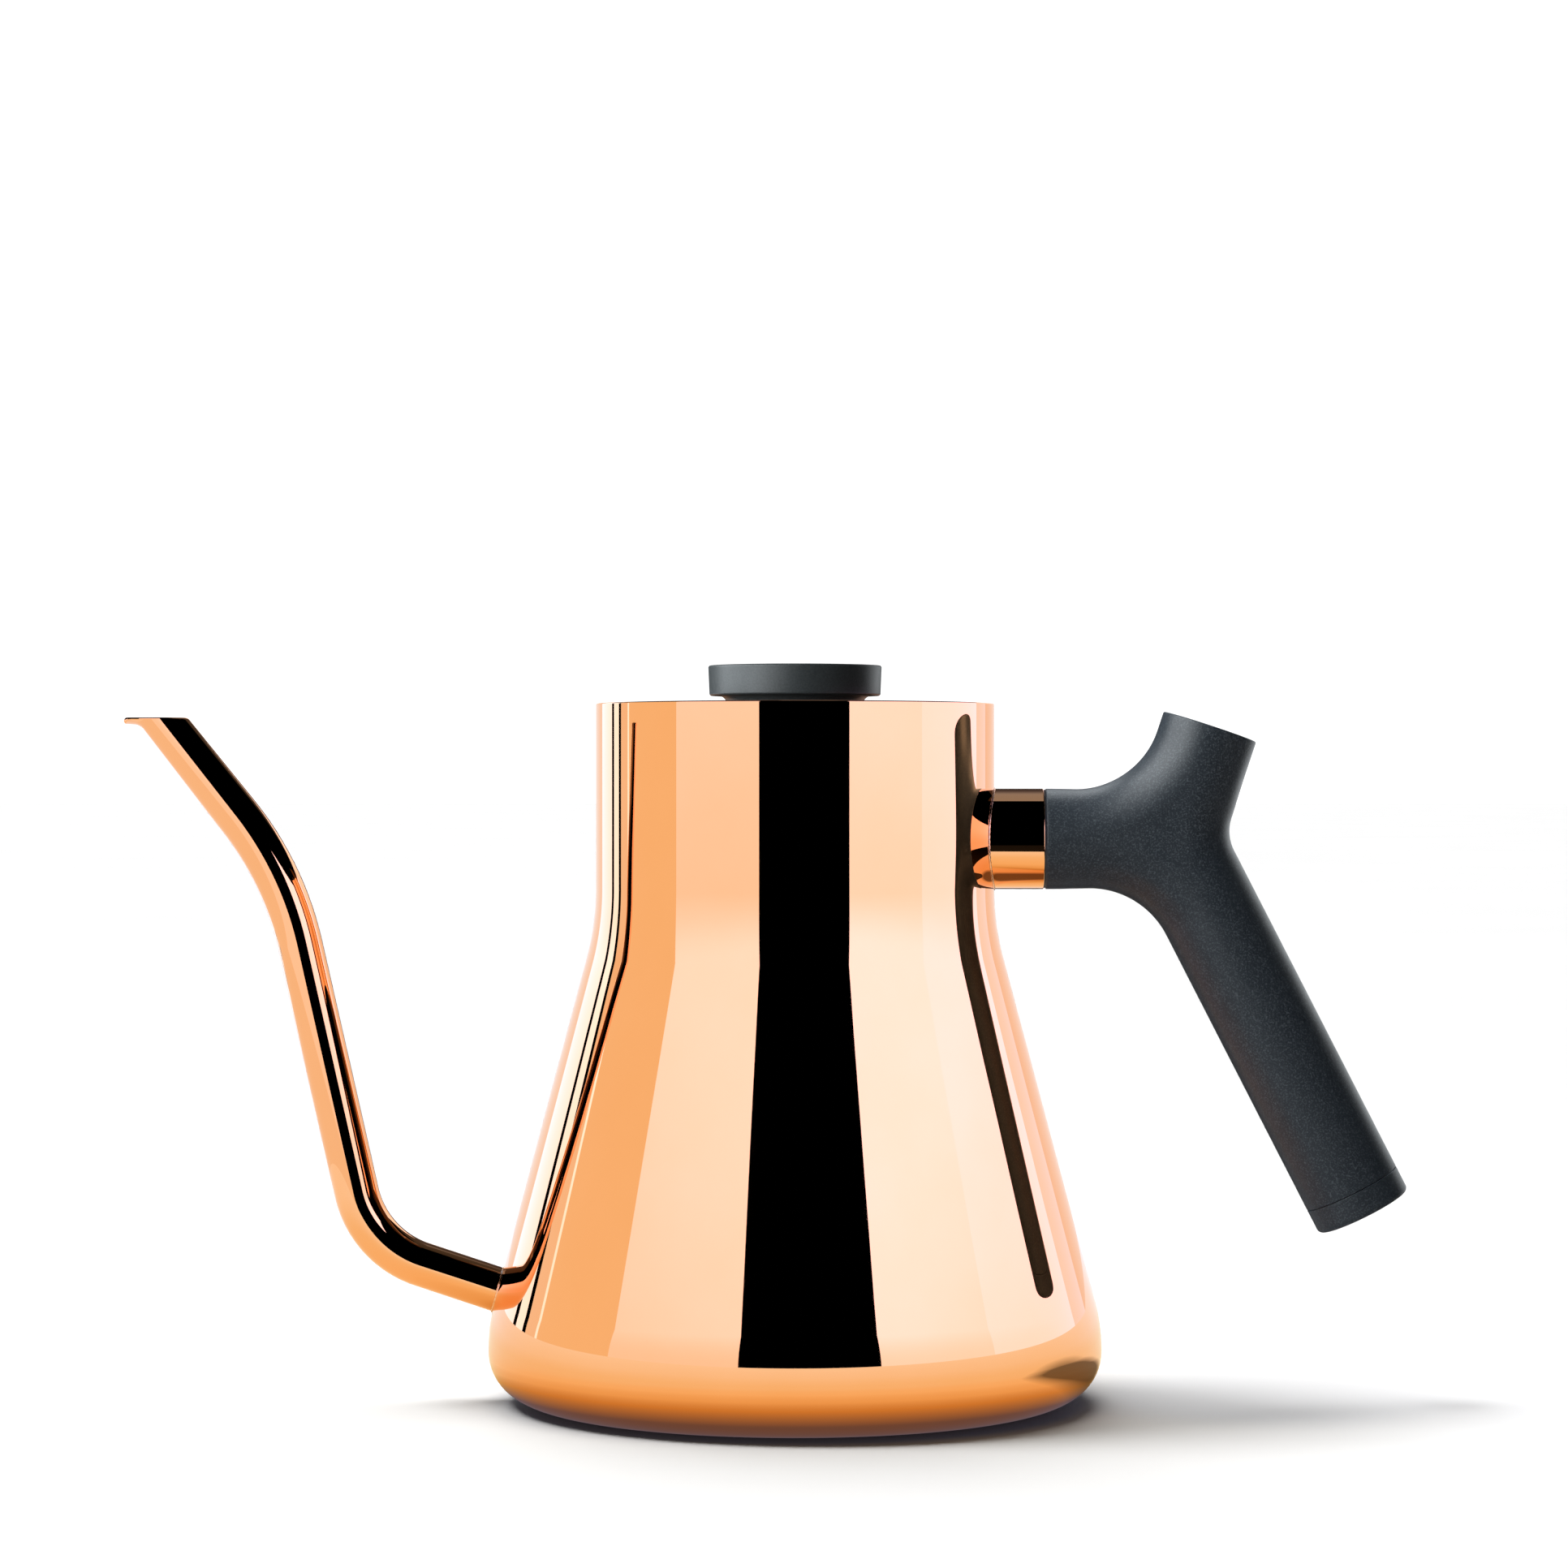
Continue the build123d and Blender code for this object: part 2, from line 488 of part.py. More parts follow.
# ------------------------------------------------------------------ thermometer
def thermometer_case():
    """Puck-shaped knob: a hollow curve under its skirt, and wells for the dial and the lens."""
    curve_low = (CASE_FOOT_RADIUS, LID_TOP_HEIGHT + CASE_FOOT_RISE)
    curve_high = (CASE_BOTTOM_RADIUS - CASE_HOLLOW_INSET, CASE_SKIRT_HEIGHT)
    bore = BUSH_RADIUS + FIT_GAP
    bush_seat = BUSH_FLANGE_RADIUS + FIT_GAP
    foot = Line((CASE_FOOT_RADIUS, LID_TOP_HEIGHT), curve_low)
    hollow = RadiusArc(curve_low, curve_high, CASE_HOLLOW_BEND)
    shape = Polyline(
        curve_high, (CASE_BOTTOM_RADIUS - CASE_CHAMFER, CASE_SKIRT_HEIGHT),
        (CASE_BOTTOM_RADIUS, CASE_SKIRT_HEIGHT + CASE_CHAMFER),
        (CASE_TOP_RADIUS, CASE_TOP_HEIGHT - CASE_CHAMFER), (CASE_TOP_RADIUS - CASE_CHAMFER, CASE_TOP_HEIGHT),
        (LENS_WELL_RADIUS, CASE_TOP_HEIGHT), (LENS_WELL_RADIUS, LENS_LEDGE_HEIGHT),
        (DIAL_WELL_RADIUS, LENS_LEDGE_HEIGHT), (DIAL_WELL_RADIUS, CASE_FLOOR_HEIGHT),
        (bush_seat, CASE_FLOOR_HEIGHT), (bush_seat, BUSH_SEAT_HEIGHT), (bore, BUSH_SEAT_HEIGHT),
        (bore, LID_TOP_HEIGHT), (CASE_FOOT_RADIUS, LID_TOP_HEIGHT))
    return turned(foot + hollow + shape)


def stem_bush():
    """Threaded bush that joins the stem to the case and clamps the lid between case and nut."""
    top = BUSH_SEAT_HEIGHT + BUSH_FLANGE_THICKNESS
    return turned(Polyline(
        (STEM_RADIUS, BUSH_BOTTOM_HEIGHT), (BUSH_RADIUS, BUSH_BOTTOM_HEIGHT), (BUSH_RADIUS, BUSH_SEAT_HEIGHT),
        (BUSH_FLANGE_RADIUS, BUSH_SEAT_HEIGHT), (BUSH_FLANGE_RADIUS, top), (STEM_RADIUS, top), close=True))


def probe_stem():
    """Thin closed tube that hangs in the water, with a guide for the pointer shaft at its top."""
    guide = SHAFT_RADIUS + SHAFT_GAP
    low = STEM_BOTTOM_HEIGHT
    neck = STEM_TOP_HEIGHT - STEM_END_THICKNESS
    return turned(Polyline(
        (0, low), (STEM_RADIUS - STEM_CHAMFER, low), (STEM_RADIUS, low + STEM_CHAMFER),
        (STEM_RADIUS, STEM_TOP_HEIGHT), (guide, STEM_TOP_HEIGHT), (guide, neck), (STEM_BORE_RADIUS, neck),
        (STEM_BORE_RADIUS, low + STEM_END_THICKNESS), (0, low + STEM_END_THICKNESS), close=True))


def bimetal_coil():
    """Coil at the foot of the stem that winds up as it warms and turns the shaft."""
    path = Helix(COIL_PITCH, COIL_PITCH * COIL_TURNS, COIL_RADIUS)
    section = Plane(path @ 0, z_dir=path % 0) * Circle(COIL_WIRE_RADIUS)
    return Pos(0, 0, STEM_BOTTOM_HEIGHT + STEM_END_THICKNESS + COIL_LIFT) * sweep(section, path, is_frenet=True)


def pointer():
    """Needle with a tapered end, a short tail and a round hub pressed on the shaft."""
    half = POINTER_WIDTH / 2
    blade = make_face(Polyline((-POINTER_TAIL, -half), (0, -half), (POINTER_REACH, -half / 4),
                               (POINTER_REACH, half / 4), (0, half), (-POINTER_TAIL, half), close=True))
    needle = Pos(0, 0, POINTER_HEIGHT) * extrude(blade, POINTER_THICKNESS)
    top = POINTER_HEIGHT + POINTER_THICKNESS
    hub = ring(0, POINTER_HUB_RADIUS, POINTER_HEIGHT - POINTER_HUB_STEP, top + POINTER_HUB_STEP)
    return needle + hub - ring(0, SHAFT_RADIUS, POINTER_HEIGHT - CUT_MARGIN, SHAFT_TOP_HEIGHT + CUT_MARGIN)


def stem_nut():
    """Hexagon nut under the liner that pulls the thermometer down onto the lid."""
    bottom = LINER_BOTTOM_HEIGHT - SEAL_THICKNESS - NUT_HEIGHT
    hexagon = extrude(RegularPolygon(NUT_WIDTH / 2, 6, major_radius=False), NUT_HEIGHT)
    bore = ring(0, BUSH_RADIUS + FIT_GAP, bottom - CUT_MARGIN, LINER_BOTTOM_HEIGHT)
    return Pos(0, 0, bottom) * hexagon - bore


def stem_seal():
    """Flat ring between the liner and the nut that keeps steam out of the lid."""
    bottom = LINER_BOTTOM_HEIGHT - SEAL_THICKNESS
    return ring(BUSH_RADIUS + FIT_GAP, SEAL_RADIUS, bottom, LINER_BOTTOM_HEIGHT)


LENS_BOTTOM = LENS_LEDGE_HEIGHT + LENS_GASKET_THICKNESS
LENS_TOP = LENS_BOTTOM + LENS_THICKNESS

parts = {
    "body_shell": body_shell(),
    "base_disc": base_disc(),
    "mouth_collar": mouth_collar(),
    "spout_tube": spout_tube(),
    "spout_weld_bead": spout_bead(),
    "handle_boss": handle_boss(),
    "neck_sleeve": neck_sleeve(),
    "sleeve_weld_bead": sleeve_bead(),
    "neck_gasket": neck_gasket(),
    "handle_shell": handle_shell(),
    "clamp_screw": clamp_screw(),
    "weight_washer": rod_along(grip_plane, WEIGHT_RADIUS, WEIGHT_BORE_START, WASHER_END, WASHER_HOLE_RADIUS),
    "counterweight": rod_along(grip_plane, WEIGHT_RADIUS, WASHER_END, WASHER_END + WEIGHT_LENGTH),
    "end_cap_o_ring": end_cap_o_ring(),
    "handle_end_cap": end_cap(),
    "lid_plate": lid_plate(),
    "lid_liner": lid_liner(),
    "lid_gasket": lid_gasket(),
    "thermometer_case": thermometer_case(),
    "stem_bush": stem_bush(),
    "probe_stem": probe_stem(),
    "stem_seal": stem_seal(),
    "stem_nut": stem_nut(),
    "bimetal_coil": bimetal_coil(),
    "dial_face": ring(DIAL_HOLE_RADIUS, DIAL_RADIUS, CASE_FLOOR_HEIGHT, CASE_FLOOR_HEIGHT + DIAL_THICKNESS),
    "lens_gasket": ring(DIAL_WELL_RADIUS + FIT_GAP, LENS_RADIUS, LENS_LEDGE_HEIGHT, LENS_BOTTOM),
    "dial_lens": ring(0, LENS_RADIUS, LENS_BOTTOM, LENS_TOP),
    "lens_bezel": ring(BEZEL_BORE_RADIUS, LENS_RADIUS, LENS_TOP, LENS_TOP + BEZEL_THICKNESS),
    "pointer": pointer(),
    "pointer_shaft": ring(0, SHAFT_RADIUS, SHAFT_BOTTOM_HEIGHT, SHAFT_TOP_HEIGHT),
}

os.makedirs("parts", exist_ok=True)
for name, shape in parts.items():
    export_step(shape, f"parts/{name}.step")
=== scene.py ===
import bmesh
import bpy
import math
import numpy as np
from mathutils import Matrix, Vector


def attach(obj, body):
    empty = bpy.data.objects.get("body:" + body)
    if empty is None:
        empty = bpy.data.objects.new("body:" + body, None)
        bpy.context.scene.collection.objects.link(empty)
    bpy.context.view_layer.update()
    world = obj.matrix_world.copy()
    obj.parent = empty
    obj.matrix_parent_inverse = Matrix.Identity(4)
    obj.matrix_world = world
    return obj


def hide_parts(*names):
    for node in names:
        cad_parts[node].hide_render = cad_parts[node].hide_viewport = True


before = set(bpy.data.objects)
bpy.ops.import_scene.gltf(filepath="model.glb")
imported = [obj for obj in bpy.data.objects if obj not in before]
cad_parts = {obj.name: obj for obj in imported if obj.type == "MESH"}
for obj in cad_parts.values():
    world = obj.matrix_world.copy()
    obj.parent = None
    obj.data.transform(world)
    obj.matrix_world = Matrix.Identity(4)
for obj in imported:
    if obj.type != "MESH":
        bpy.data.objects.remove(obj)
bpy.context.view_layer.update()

# Sizes below are in millimetres in the CAD frame; MM turns them into Blender's metres.
MM = 0.001

# ---------------- shape of the kettle
WALL = 0.8
RIM_RADIUS = 45.4
RIM_HEIGHT = 159.0
RIM_FILLET = 0.3
KNEE_HEIGHT = 109.0
KNEE_BEND = 60.0
CONE_ANGLE = 14.96
WIDEST_RADIUS = 69.8
WAIST_BEND = 43.0
ROLL_RADIUS = 11.4
ROLL_TURN = 60.0
DISC_RADIUS = 50.0

SPOUT_RADIUS = 5.1
SPOUT_TIP_RADIUS = 4.8
SPOUT_ROOT_X = -60.0
SPOUT_ROOT_SLOPE = 18.2
LOWER_BEND = (-97.4, 34.9)
UPPER_BEND = (-116.9, 120.3)
LOWER_BEND_RADIUS = 22.5
UPPER_BEND_RADIUS = 74.0
TIP_LEAN = 38.5
OUTLET_HEIGHT = 155.9
LIP_START = 0.61
LIP_BEND = 2.4
LIP_TURN = 48.0
LIP_REACH = 1.9
LIP_INNER_BEND = 5.0
LIP_INNER_TURN = 30.0
BRIM_ROUND = 0.3
BACK_ROUND = 1.4
BORE_EDGE_ROUND = 0.2

NECK_HEIGHT = 128.2
NECK_RADIUS = 11.45
NECK_END_X = 56.6
NECK_BORE_RADIUS = 9.1
HANDLE_START_X = 57.0
FORK_X = 86.0
ARM_LEAN = 18.4
ARM_LENGTH = 26.9
ARM_RADIUS = 11.05
GRIP_LEAN = 27.1
GRIP_LENGTH = 89.1
GRIP_RADIUS = 11.25
HANDLE_BEND = 31.0
CROTCH_REACH = 20.6
NECK_TAPER_LENGTH = 13.0
ARM_TAPER = (4.0, 20.0)    # where the arm thins to its own radius, measured from the fork
CAP_LENGTH = 6.1
CAP_DOME = 0.7
CAP_CORNER = 1.1
SEAM_GROOVE_WIDTH = 0.2
SEAM_GROOVE_DEPTH = 0.5
SEAM_CORNER = 0.12
END_CORNER = 0.35

LID_RADIUS = 44.0
LID_TOP = 158.3
LID_BOTTOM = 155.15
LID_CORNER = 2.5
VENT_PITCH_RADIUS = 27.0
VENT_RADIUS = 1.3
VENT_ANGLES = (166.0, 180.0, 194.0)

TURN_STEPS = 320          # facets round the body
SMALL_TURN_STEPS = 128    # facets round small turned parts


# ---------------- mesh building
def line_run(start, end):
    """Straight piece of an outline: (point, outward normal) at both ends, material on its left."""
    length = math.hypot(end[0] - start[0], end[1] - start[1])
    normal = ((end[1] - start[1]) / length, (start[0] - end[0]) / length)
    return [(tuple(start), normal), (tuple(end), normal)]


def arc_run(centre, radius, start, end, step=3.0):
    """Arc of an outline between two angles in degrees; it is hollow where the angle falls."""
    pieces = max(2, math.ceil(abs(end - start) / step))
    side = 1 if end > start else -1
    run = []
    for k in range(pieces + 1):
        angle = math.radians(start + (end - start) * k / pieces)
        across, up = math.cos(angle), math.sin(angle)
        run.append(((centre[0] + radius * across, centre[1] + radius * up), (side * across, side * up)))
    return run


def rounded(corners, closed=True):
    """Outline through corners given as (radius, height, fillet), as runs with exact normals."""
    points = [Vector(corner[:2]) for corner in corners]
    count = len(points)
    entries, exits, arcs = list(points), list(points), [None] * count
    for i, (_, _, fillet) in enumerate(corners):
        if fillet == 0 or (not closed and i in (0, count - 1)):
            continue
        before = (points[i] - points[i - 1]).normalized()
        after = (points[(i + 1) % count] - points[i]).normalized()
        turn = math.atan2(before.x * after.y - before.y * after.x, before.dot(after))
        cut = fillet * math.tan(abs(turn) / 2)
        entries[i], exits[i] = points[i] - before * cut, points[i] + after * cut
        side = 1 if turn > 0 else -1
        centre = entries[i] + Vector((-before.y, before.x)) * side * fillet
        start = math.degrees(math.atan2(entries[i].y - centre.y, entries[i].x - centre.x))
        arcs[i] = arc_run(tuple(centre), fillet, start, start + math.degrees(turn), 15.0)
    runs = []
    for i in range(count):
        if arcs[i]:
            runs.append(arcs[i])
        following = (i + 1) % count
        if (closed or following) and (entries[following] - exits[i]).length > 1e-5:
            runs.append(line_run(exits[i], entries[following]))
    return runs


def turned_rows(runs, steps):
    """Turns an outline's runs round the Z axis into rows of points and normals."""
    angles = np.linspace(0, 2 * math.pi, steps, endpoint=False)
    across, along = np.cos(angles), np.sin(angles)

    def spin(pair):
        return np.stack([pair[0] * across, pair[0] * along, np.full(steps, pair[1])], 1)
    return [[(spin(point), spin(normal)) for point, normal in run] for run in runs]


def skin(name, runs, place=None, materials=(), run_slots=None):
    """Closed mesh over rows of points that close on themselves, with the given corner normals.

    Each run is a list of (points, normals); neighbouring runs share their end rows.
    """
    size = len(runs[0][0][0])
    index_of, points, faces, normals, slots = {}, [], [], [], []

    def row_index(row):
        """Vertex numbers of a row: one number where the row is a single point."""
        pole = np.abs(row - row[0]).max() < 1e-7
        key = tuple(np.round(row[0], 5)) + tuple(np.round(row[size // 3], 5))
        if key not in index_of:
            first = len(points)
            points.extend(row[:1] if pole else row)
            index_of[key] = [first] * size if pole else list(range(first, first + size))
        return index_of[key]

    for number, run in enumerate(runs):
        for (low, low_normals), (high, high_normals) in zip(run, run[1:]):
            a, b = row_index(low), row_index(high)
            for k in range(size):
                n = (k + 1) % size
                corners = [(a[k], low_normals[k]), (a[n], low_normals[n]),
                           (b[n], high_normals[n]), (b[k], high_normals[k])]
                if a[k] == a[n]:
                    corners.pop(0)
                if b[k] == b[n]:
                    corners.pop()
                faces.append([corner[0] for corner in corners])
                normals.extend(corner[1] for corner in corners)
                slots.append(run_slots[number] if run_slots else 0)
    points, normals = np.array(points), np.array(normals)
    if place is not None:
        matrix = np.array(place, float)
        points = points @ matrix[:3, :3].T + matrix[:3, 3]
        normals = normals @ matrix[:3, :3].T
    mesh = bpy.data.meshes.new(name)
    mesh.from_pydata((points * MM).tolist(), [], faces)
    mesh.polygons.foreach_set("use_smooth", [True] * len(faces))
    mesh.polygons.foreach_set("material_index", slots)
    mesh.normals_split_custom_set(normals.tolist())
    return finish_piece(name, mesh, materials)


def finish_piece(name, mesh, materials):
    """Object of a mesh, linked to the scene with its materials."""
    piece = bpy.data.objects.new(name, mesh)
    for material in materials:
        mesh.materials.append(material)
    bpy.context.scene.collection.objects.link(piece)
    return piece


def shape_piece(name, shape, *materials):
    """Object made from a bmesh, which is freed."""
    mesh = bpy.data.meshes.new(name)
    shape.to_mesh(mesh)
    shape.free()
    return finish_piece(name, mesh, materials)


def evaluated_mesh(source):
    """New mesh of an object as its modifiers or its font settings make it."""
    bpy.context.view_layer.update()
    return bpy.data.meshes.new_from_object(source.evaluated_get(bpy.context.evaluated_depsgraph_get()))


def lathe(name, runs, materials, place=None, steps=SMALL_TURN_STEPS, run_slots=None):
    """Turned piece from an outline's runs."""
    return skin(name, turned_rows(runs, steps), place, materials, run_slots)


def axis_place(origin_x, origin_z, lean):
    """Frame whose Z axis leans from straight up, in degrees towards +X, in the plane Y = 0."""
    return Matrix.Translation((origin_x, 0, origin_z)) @ Matrix.Rotation(math.radians(lean), 4, "Y")


def dress(piece, body, slot, *nodes):
    """Attaches a piece to the body it rides on and hides the CAD nodes it stands for; slot, the name of its
    finish, is not used.
    """
    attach(piece, body)
    if nodes:
        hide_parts(*nodes)
    return piece


# ---------------- materials
def set_ramp(ramp, stops):
    """Gives a colour ramp its stops: (position, colour) pairs from first to last."""
    for element, (position, colour) in zip(ramp.elements, (stops[0], stops[-1])):
        element.position, element.color = position, (*colour, 1)
    for position, colour in stops[1:-1]:
        ramp.elements.new(position).color = (*colour, 1)


class Nodes:
    """Short ways to add the nodes of a tree and join them."""

    def __init__(self, tree):
        self.tree = tree

    def node(self, kind, **values):
        """Adds a node; a value goes to the input of that name, or else to the node's own setting."""
        made = self.tree.nodes.new(kind)
        for key, value in values.items():
            socket = key.replace("_", " ")
            if socket in made.inputs:
                made.inputs[socket].default_value = value
            else:
                setattr(made, key, value)
        return made

    def link(self, source, target):
        self.tree.links.new(source, target)


class Paint(Nodes):
    """Node material with one Principled shader and helpers for its procedural detail."""

    def __init__(self, name, **settings):
        self.material = bpy.data.materials.new(name)
        self.material.use_nodes = True
        super().__init__(self.material.node_tree)
        self.shader = self.tree.nodes["Principled BSDF"]
        for socket, value in settings.items():
            self.shader.inputs[socket.replace("_", " ")].default_value = value

    def place(self, stretch=(1, 1, 1)):
        """Object coordinates, stretched along the axes."""
        coordinates = self.node("ShaderNodeTexCoord")
        mapping = self.node("ShaderNodeMapping", Scale=stretch)
        self.link(coordinates.outputs["Object"], mapping.inputs["Vector"])
        return mapping.outputs["Vector"]

    def noise(self, scale, detail=4.0, stretch=(1, 1, 1)):
        """Noise whose scale counts its waves per metre."""
        made = self.node("ShaderNodeTexNoise", Scale=scale, Detail=detail)
        self.link(self.place(stretch), made.inputs["Vector"])
        return made.outputs["Fac"]

    def vary(self, fac, socket, low, high, start=0.3, end=0.7):
        """Drives a number of the shader between two values by a texture."""
        scaled = self.node("ShaderNodeMapRange", From_Min=start, From_Max=end, To_Min=low, To_Max=high)
        self.link(fac, scaled.inputs["Value"])
        self.link(scaled.outputs["Result"], self.shader.inputs[socket])

    def tint(self, fac, low, high, start=0.3, end=0.7):
        """Blends the base colour between two colours by a texture."""
        ramp = self.node("ShaderNodeValToRGB")
        set_ramp(ramp.color_ramp, [(start, low), (end, high)])
        self.link(fac, ramp.inputs["Fac"])
        self.link(ramp.outputs["Color"], self.shader.inputs["Base Color"])

    def bump(self, fac, depth, strength=1.0):
        """Gives the surface fine relief of a depth in metres."""
        relief = self.node("ShaderNodeBump", Strength=strength, Distance=depth)
        self.link(fac, relief.inputs["Height"])
        self.link(relief.outputs["Normal"], self.shader.inputs["Normal"])


def polished_copper():
    paint = Paint("copper_polish", Metallic=1.0, Roughness=0.02)
    paint.tint(paint.noise(60.0), (0.945, 0.445, 0.185), (0.955, 0.455, 0.195))
    paint.vary(paint.noise(900.0, 6.0, (1, 1, 0.15)), "Roughness", 0.012, 0.03, 0.35, 0.75)
    paint.bump(paint.noise(28.0, 1.0), 0.00002)
    return paint.material


def weld_copper():
    paint = Paint("weld_copper", Metallic=1.0, Roughness=0.12)
    paint.tint(paint.noise(1500.0), (0.80, 0.40, 0.19), (0.97, 0.60, 0.36))
    paint.vary(paint.noise(2500.0), "Roughness", 0.06, 0.25)
    paint.bump(paint.noise(1800.0), 0.00005)
    return paint.material


def steel(name, light, dark, roughness, stretch=(1, 1, 12), scale=500.0):
    """Brushed or turned steel: fine streaks in tone, roughness and relief."""
    paint = Paint(name, Metallic=1.0, Roughness=roughness)
    streaks = paint.noise(scale, 5.0, stretch)
    paint.tint(streaks, dark, light)
    paint.vary(streaks, "Roughness", roughness * 0.8, roughness * 1.3)
    paint.bump(streaks, 0.00001)
    return paint.material


def moulding(name, light, dark, roughness, speckle=2600.0, depth=0.00003, start=0.35):
    """Matt moulded plastic with a fine speckled grain; the light specks are sparser for a higher start."""
    paint = Paint(name, Roughness=roughness, Specular_IOR_Level=0.36)
    grain = paint.noise(speckle, 2.0)
    paint.tint(grain, dark, light, start, start + 0.33)
    paint.vary(paint.noise(90.0), "Roughness", roughness - 0.04, roughness + 0.05)
    paint.bump(grain, depth, 0.5)
    return paint.material


def rubber(name, light, dark, roughness=0.6):
    paint = Paint(name, Roughness=roughness)
    paint.tint(paint.noise(900.0, 3.0), dark, light)
    paint.vary(paint.noise(300.0), "Roughness", roughness - 0.08, roughness + 0.08)
    paint.bump(paint.noise(2200.0, 2.0), 0.00002)
    return paint.material


def clear_glass():
    paint = Paint("lens_glass", Roughness=0.01, IOR=1.5, Transmission_Weight=1.0)
    paint.tint(paint.noise(40.0), (0.97, 0.99, 0.99), (1.0, 1.0, 1.0))
    paint.vary(paint.noise(200.0), "Roughness", 0.005, 0.02)
    return paint.material


COPPER = polished_copper()
WELD = weld_copper()
INNER_STEEL = steel("inner_steel", (0.66, 0.65, 0.64), (0.52, 0.52, 0.51), 0.22)
COLLAR_STEEL = steel("collar_steel", (0.66, 0.66, 0.65), (0.55, 0.55, 0.54), 0.24, (1, 1, 1))
MACHINED_STEEL = steel("machined_steel", (0.62, 0.62, 0.61), (0.5, 0.5, 0.49), 0.28)
BLACK_SCREW = steel("blackened_screw", (0.11, 0.11, 0.12), (0.06, 0.06, 0.07), 0.42)
WEIGHT_STEEL = steel("weight_steel", (0.5, 0.5, 0.49), (0.38, 0.38, 0.37), 0.36)
PROBE_STEEL = steel("probe_steel", (0.7, 0.7, 0.69), (0.6, 0.6, 0.59), 0.18, (1, 1, 0.1))
BIMETAL = steel("bimetal", (0.76, 0.62, 0.38), (0.62, 0.5, 0.3), 0.3)
HANDLE_TONES = ((0.05, 0.058, 0.066), (0.012, 0.016, 0.021))
HANDLE_PLASTIC = moulding("handle_moulding", *HANDLE_TONES, 0.42, depth=0.00005, start=0.48)
CAP_PLASTIC = moulding("cap_moulding", *HANDLE_TONES, 0.42, depth=0.00005, start=0.48)
KNOB_PLASTIC = moulding("knob_moulding", (0.030, 0.034, 0.035), (0.020, 0.023, 0.024), 0.42)
LINER_PLASTIC = moulding("liner_moulding", (0.036, 0.036, 0.038), (0.024, 0.024, 0.026), 0.38)
BLACK_SILICONE = rubber("silicone_black", (0.03, 0.03, 0.032), (0.018, 0.018, 0.02))
GREY_SILICONE = rubber("silicone_grey", (0.36, 0.37, 0.38), (0.28, 0.29, 0.3), 0.5)
DIAL_PLASTIC = moulding("dial_print", (0.06, 0.065, 0.07), (0.045, 0.05, 0.055), 0.55, 4000.0, 0.00001)
MARK_PAINT = moulding("dial_marks", (0.85, 0.84, 0.8), (0.78, 0.77, 0.73), 0.5, 4000.0, 0.00001)
BREW_PAINT = moulding("dial_brew_band", (0.83, 0.36, 0.14), (0.74, 0.3, 0.11), 0.5, 4000.0, 0.00001)
LENS = clear_glass()
BEZEL = steel("bezel_black", (0.055, 0.06, 0.066), (0.04, 0.045, 0.05), 0.3)
POINTER = moulding("pointer_paint", (0.9, 0.88, 0.84), (0.84, 0.82, 0.78), 0.4, 3000.0, 0.00001)

# ---------------- body
CONE_SLOPE = math.tan(math.radians(CONE_ANGLE))
CONE_SIN = math.sin(math.radians(CONE_ANGLE))
CONE_COS = math.cos(math.radians(CONE_ANGLE))
ROLL_SIN = math.sin(math.radians(ROLL_TURN))
waist_radius = WIDEST_RADIUS - WAIST_BEND * (1 - CONE_COS)
WIDEST_HEIGHT = KNEE_HEIGHT - (waist_radius - RIM_RADIUS) / CONE_SLOPE - WAIST_BEND * CONE_SIN
FOOT_RADIUS = (WIDEST_HEIGHT - ROLL_RADIUS * ROLL_SIN) / (1 - ROLL_SIN)
waist_centre = (WIDEST_RADIUS - WAIST_BEND, WIDEST_HEIGHT)
roll_centre = (WIDEST_RADIUS - ROLL_RADIUS, WIDEST_HEIGHT)
foot_offset = FOOT_RADIUS - ROLL_RADIUS
foot_centre = (roll_centre[0] - foot_offset * math.cos(math.radians(ROLL_TURN)),
               roll_centre[1] + foot_offset * ROLL_SIN)
knee_centre = (RIM_RADIUS + KNEE_BEND, KNEE_HEIGHT + KNEE_BEND * math.tan(math.radians(CONE_ANGLE / 2)))


def body_wall(inset):
    """Runs of the body's surface from the foot up to the knee, moved inward by inset."""
    bend = KNEE_BEND + inset
    foot = arc_run(foot_centre, FOOT_RADIUS - inset, -90, -ROLL_TURN)
    roll = arc_run(roll_centre, ROLL_RADIUS - inset, -ROLL_TURN, 0)
    waist = arc_run(waist_centre, WAIST_BEND - inset, 0, CONE_ANGLE, 1.0)
    knee = arc_run(knee_centre, bend, 180 + CONE_ANGLE, 180, 1.0)
    return [foot, roll, waist, line_run(waist[-1][0], knee[0][0]), knee]


def flipped(runs):
    """The same runs followed the other way, so that their normals point to the other side."""
    return [[(point, (-normal[0], -normal[1])) for point, normal in reversed(run)]
            for run in reversed(runs)]


def body_runs():
    """Whole outline of the shell, and the material number of each run: outside copper, inside steel."""
    outer, inner = body_wall(0), flipped(body_wall(WALL))
    inside = RIM_RADIUS - WALL
    rim = rounded([(*outer[-1][-1][0], 0), (RIM_RADIUS, RIM_HEIGHT, RIM_FILLET),
                   (inside, RIM_HEIGHT, RIM_FILLET), (*inner[0][0][0], 0)], closed=False)
    foot = [line_run(inner[-1][-1][0], (DISC_RADIUS, WALL)), line_run((DISC_RADIUS, WALL), (DISC_RADIUS, 0)),
            line_run((DISC_RADIUS, 0), outer[0][0][0])]
    slots = [0] * (len(outer) + len(rim) - 1) + [1] * (len(inner) + 3) + [0]
    return outer + rim + inner + foot, slots


runs, run_slots = body_runs()
body = lathe("body", runs, (COPPER, INNER_STEEL), steps=TURN_STEPS, run_slots=run_slots)
dress(body, "kettle", "copper_polish", "body_shell")


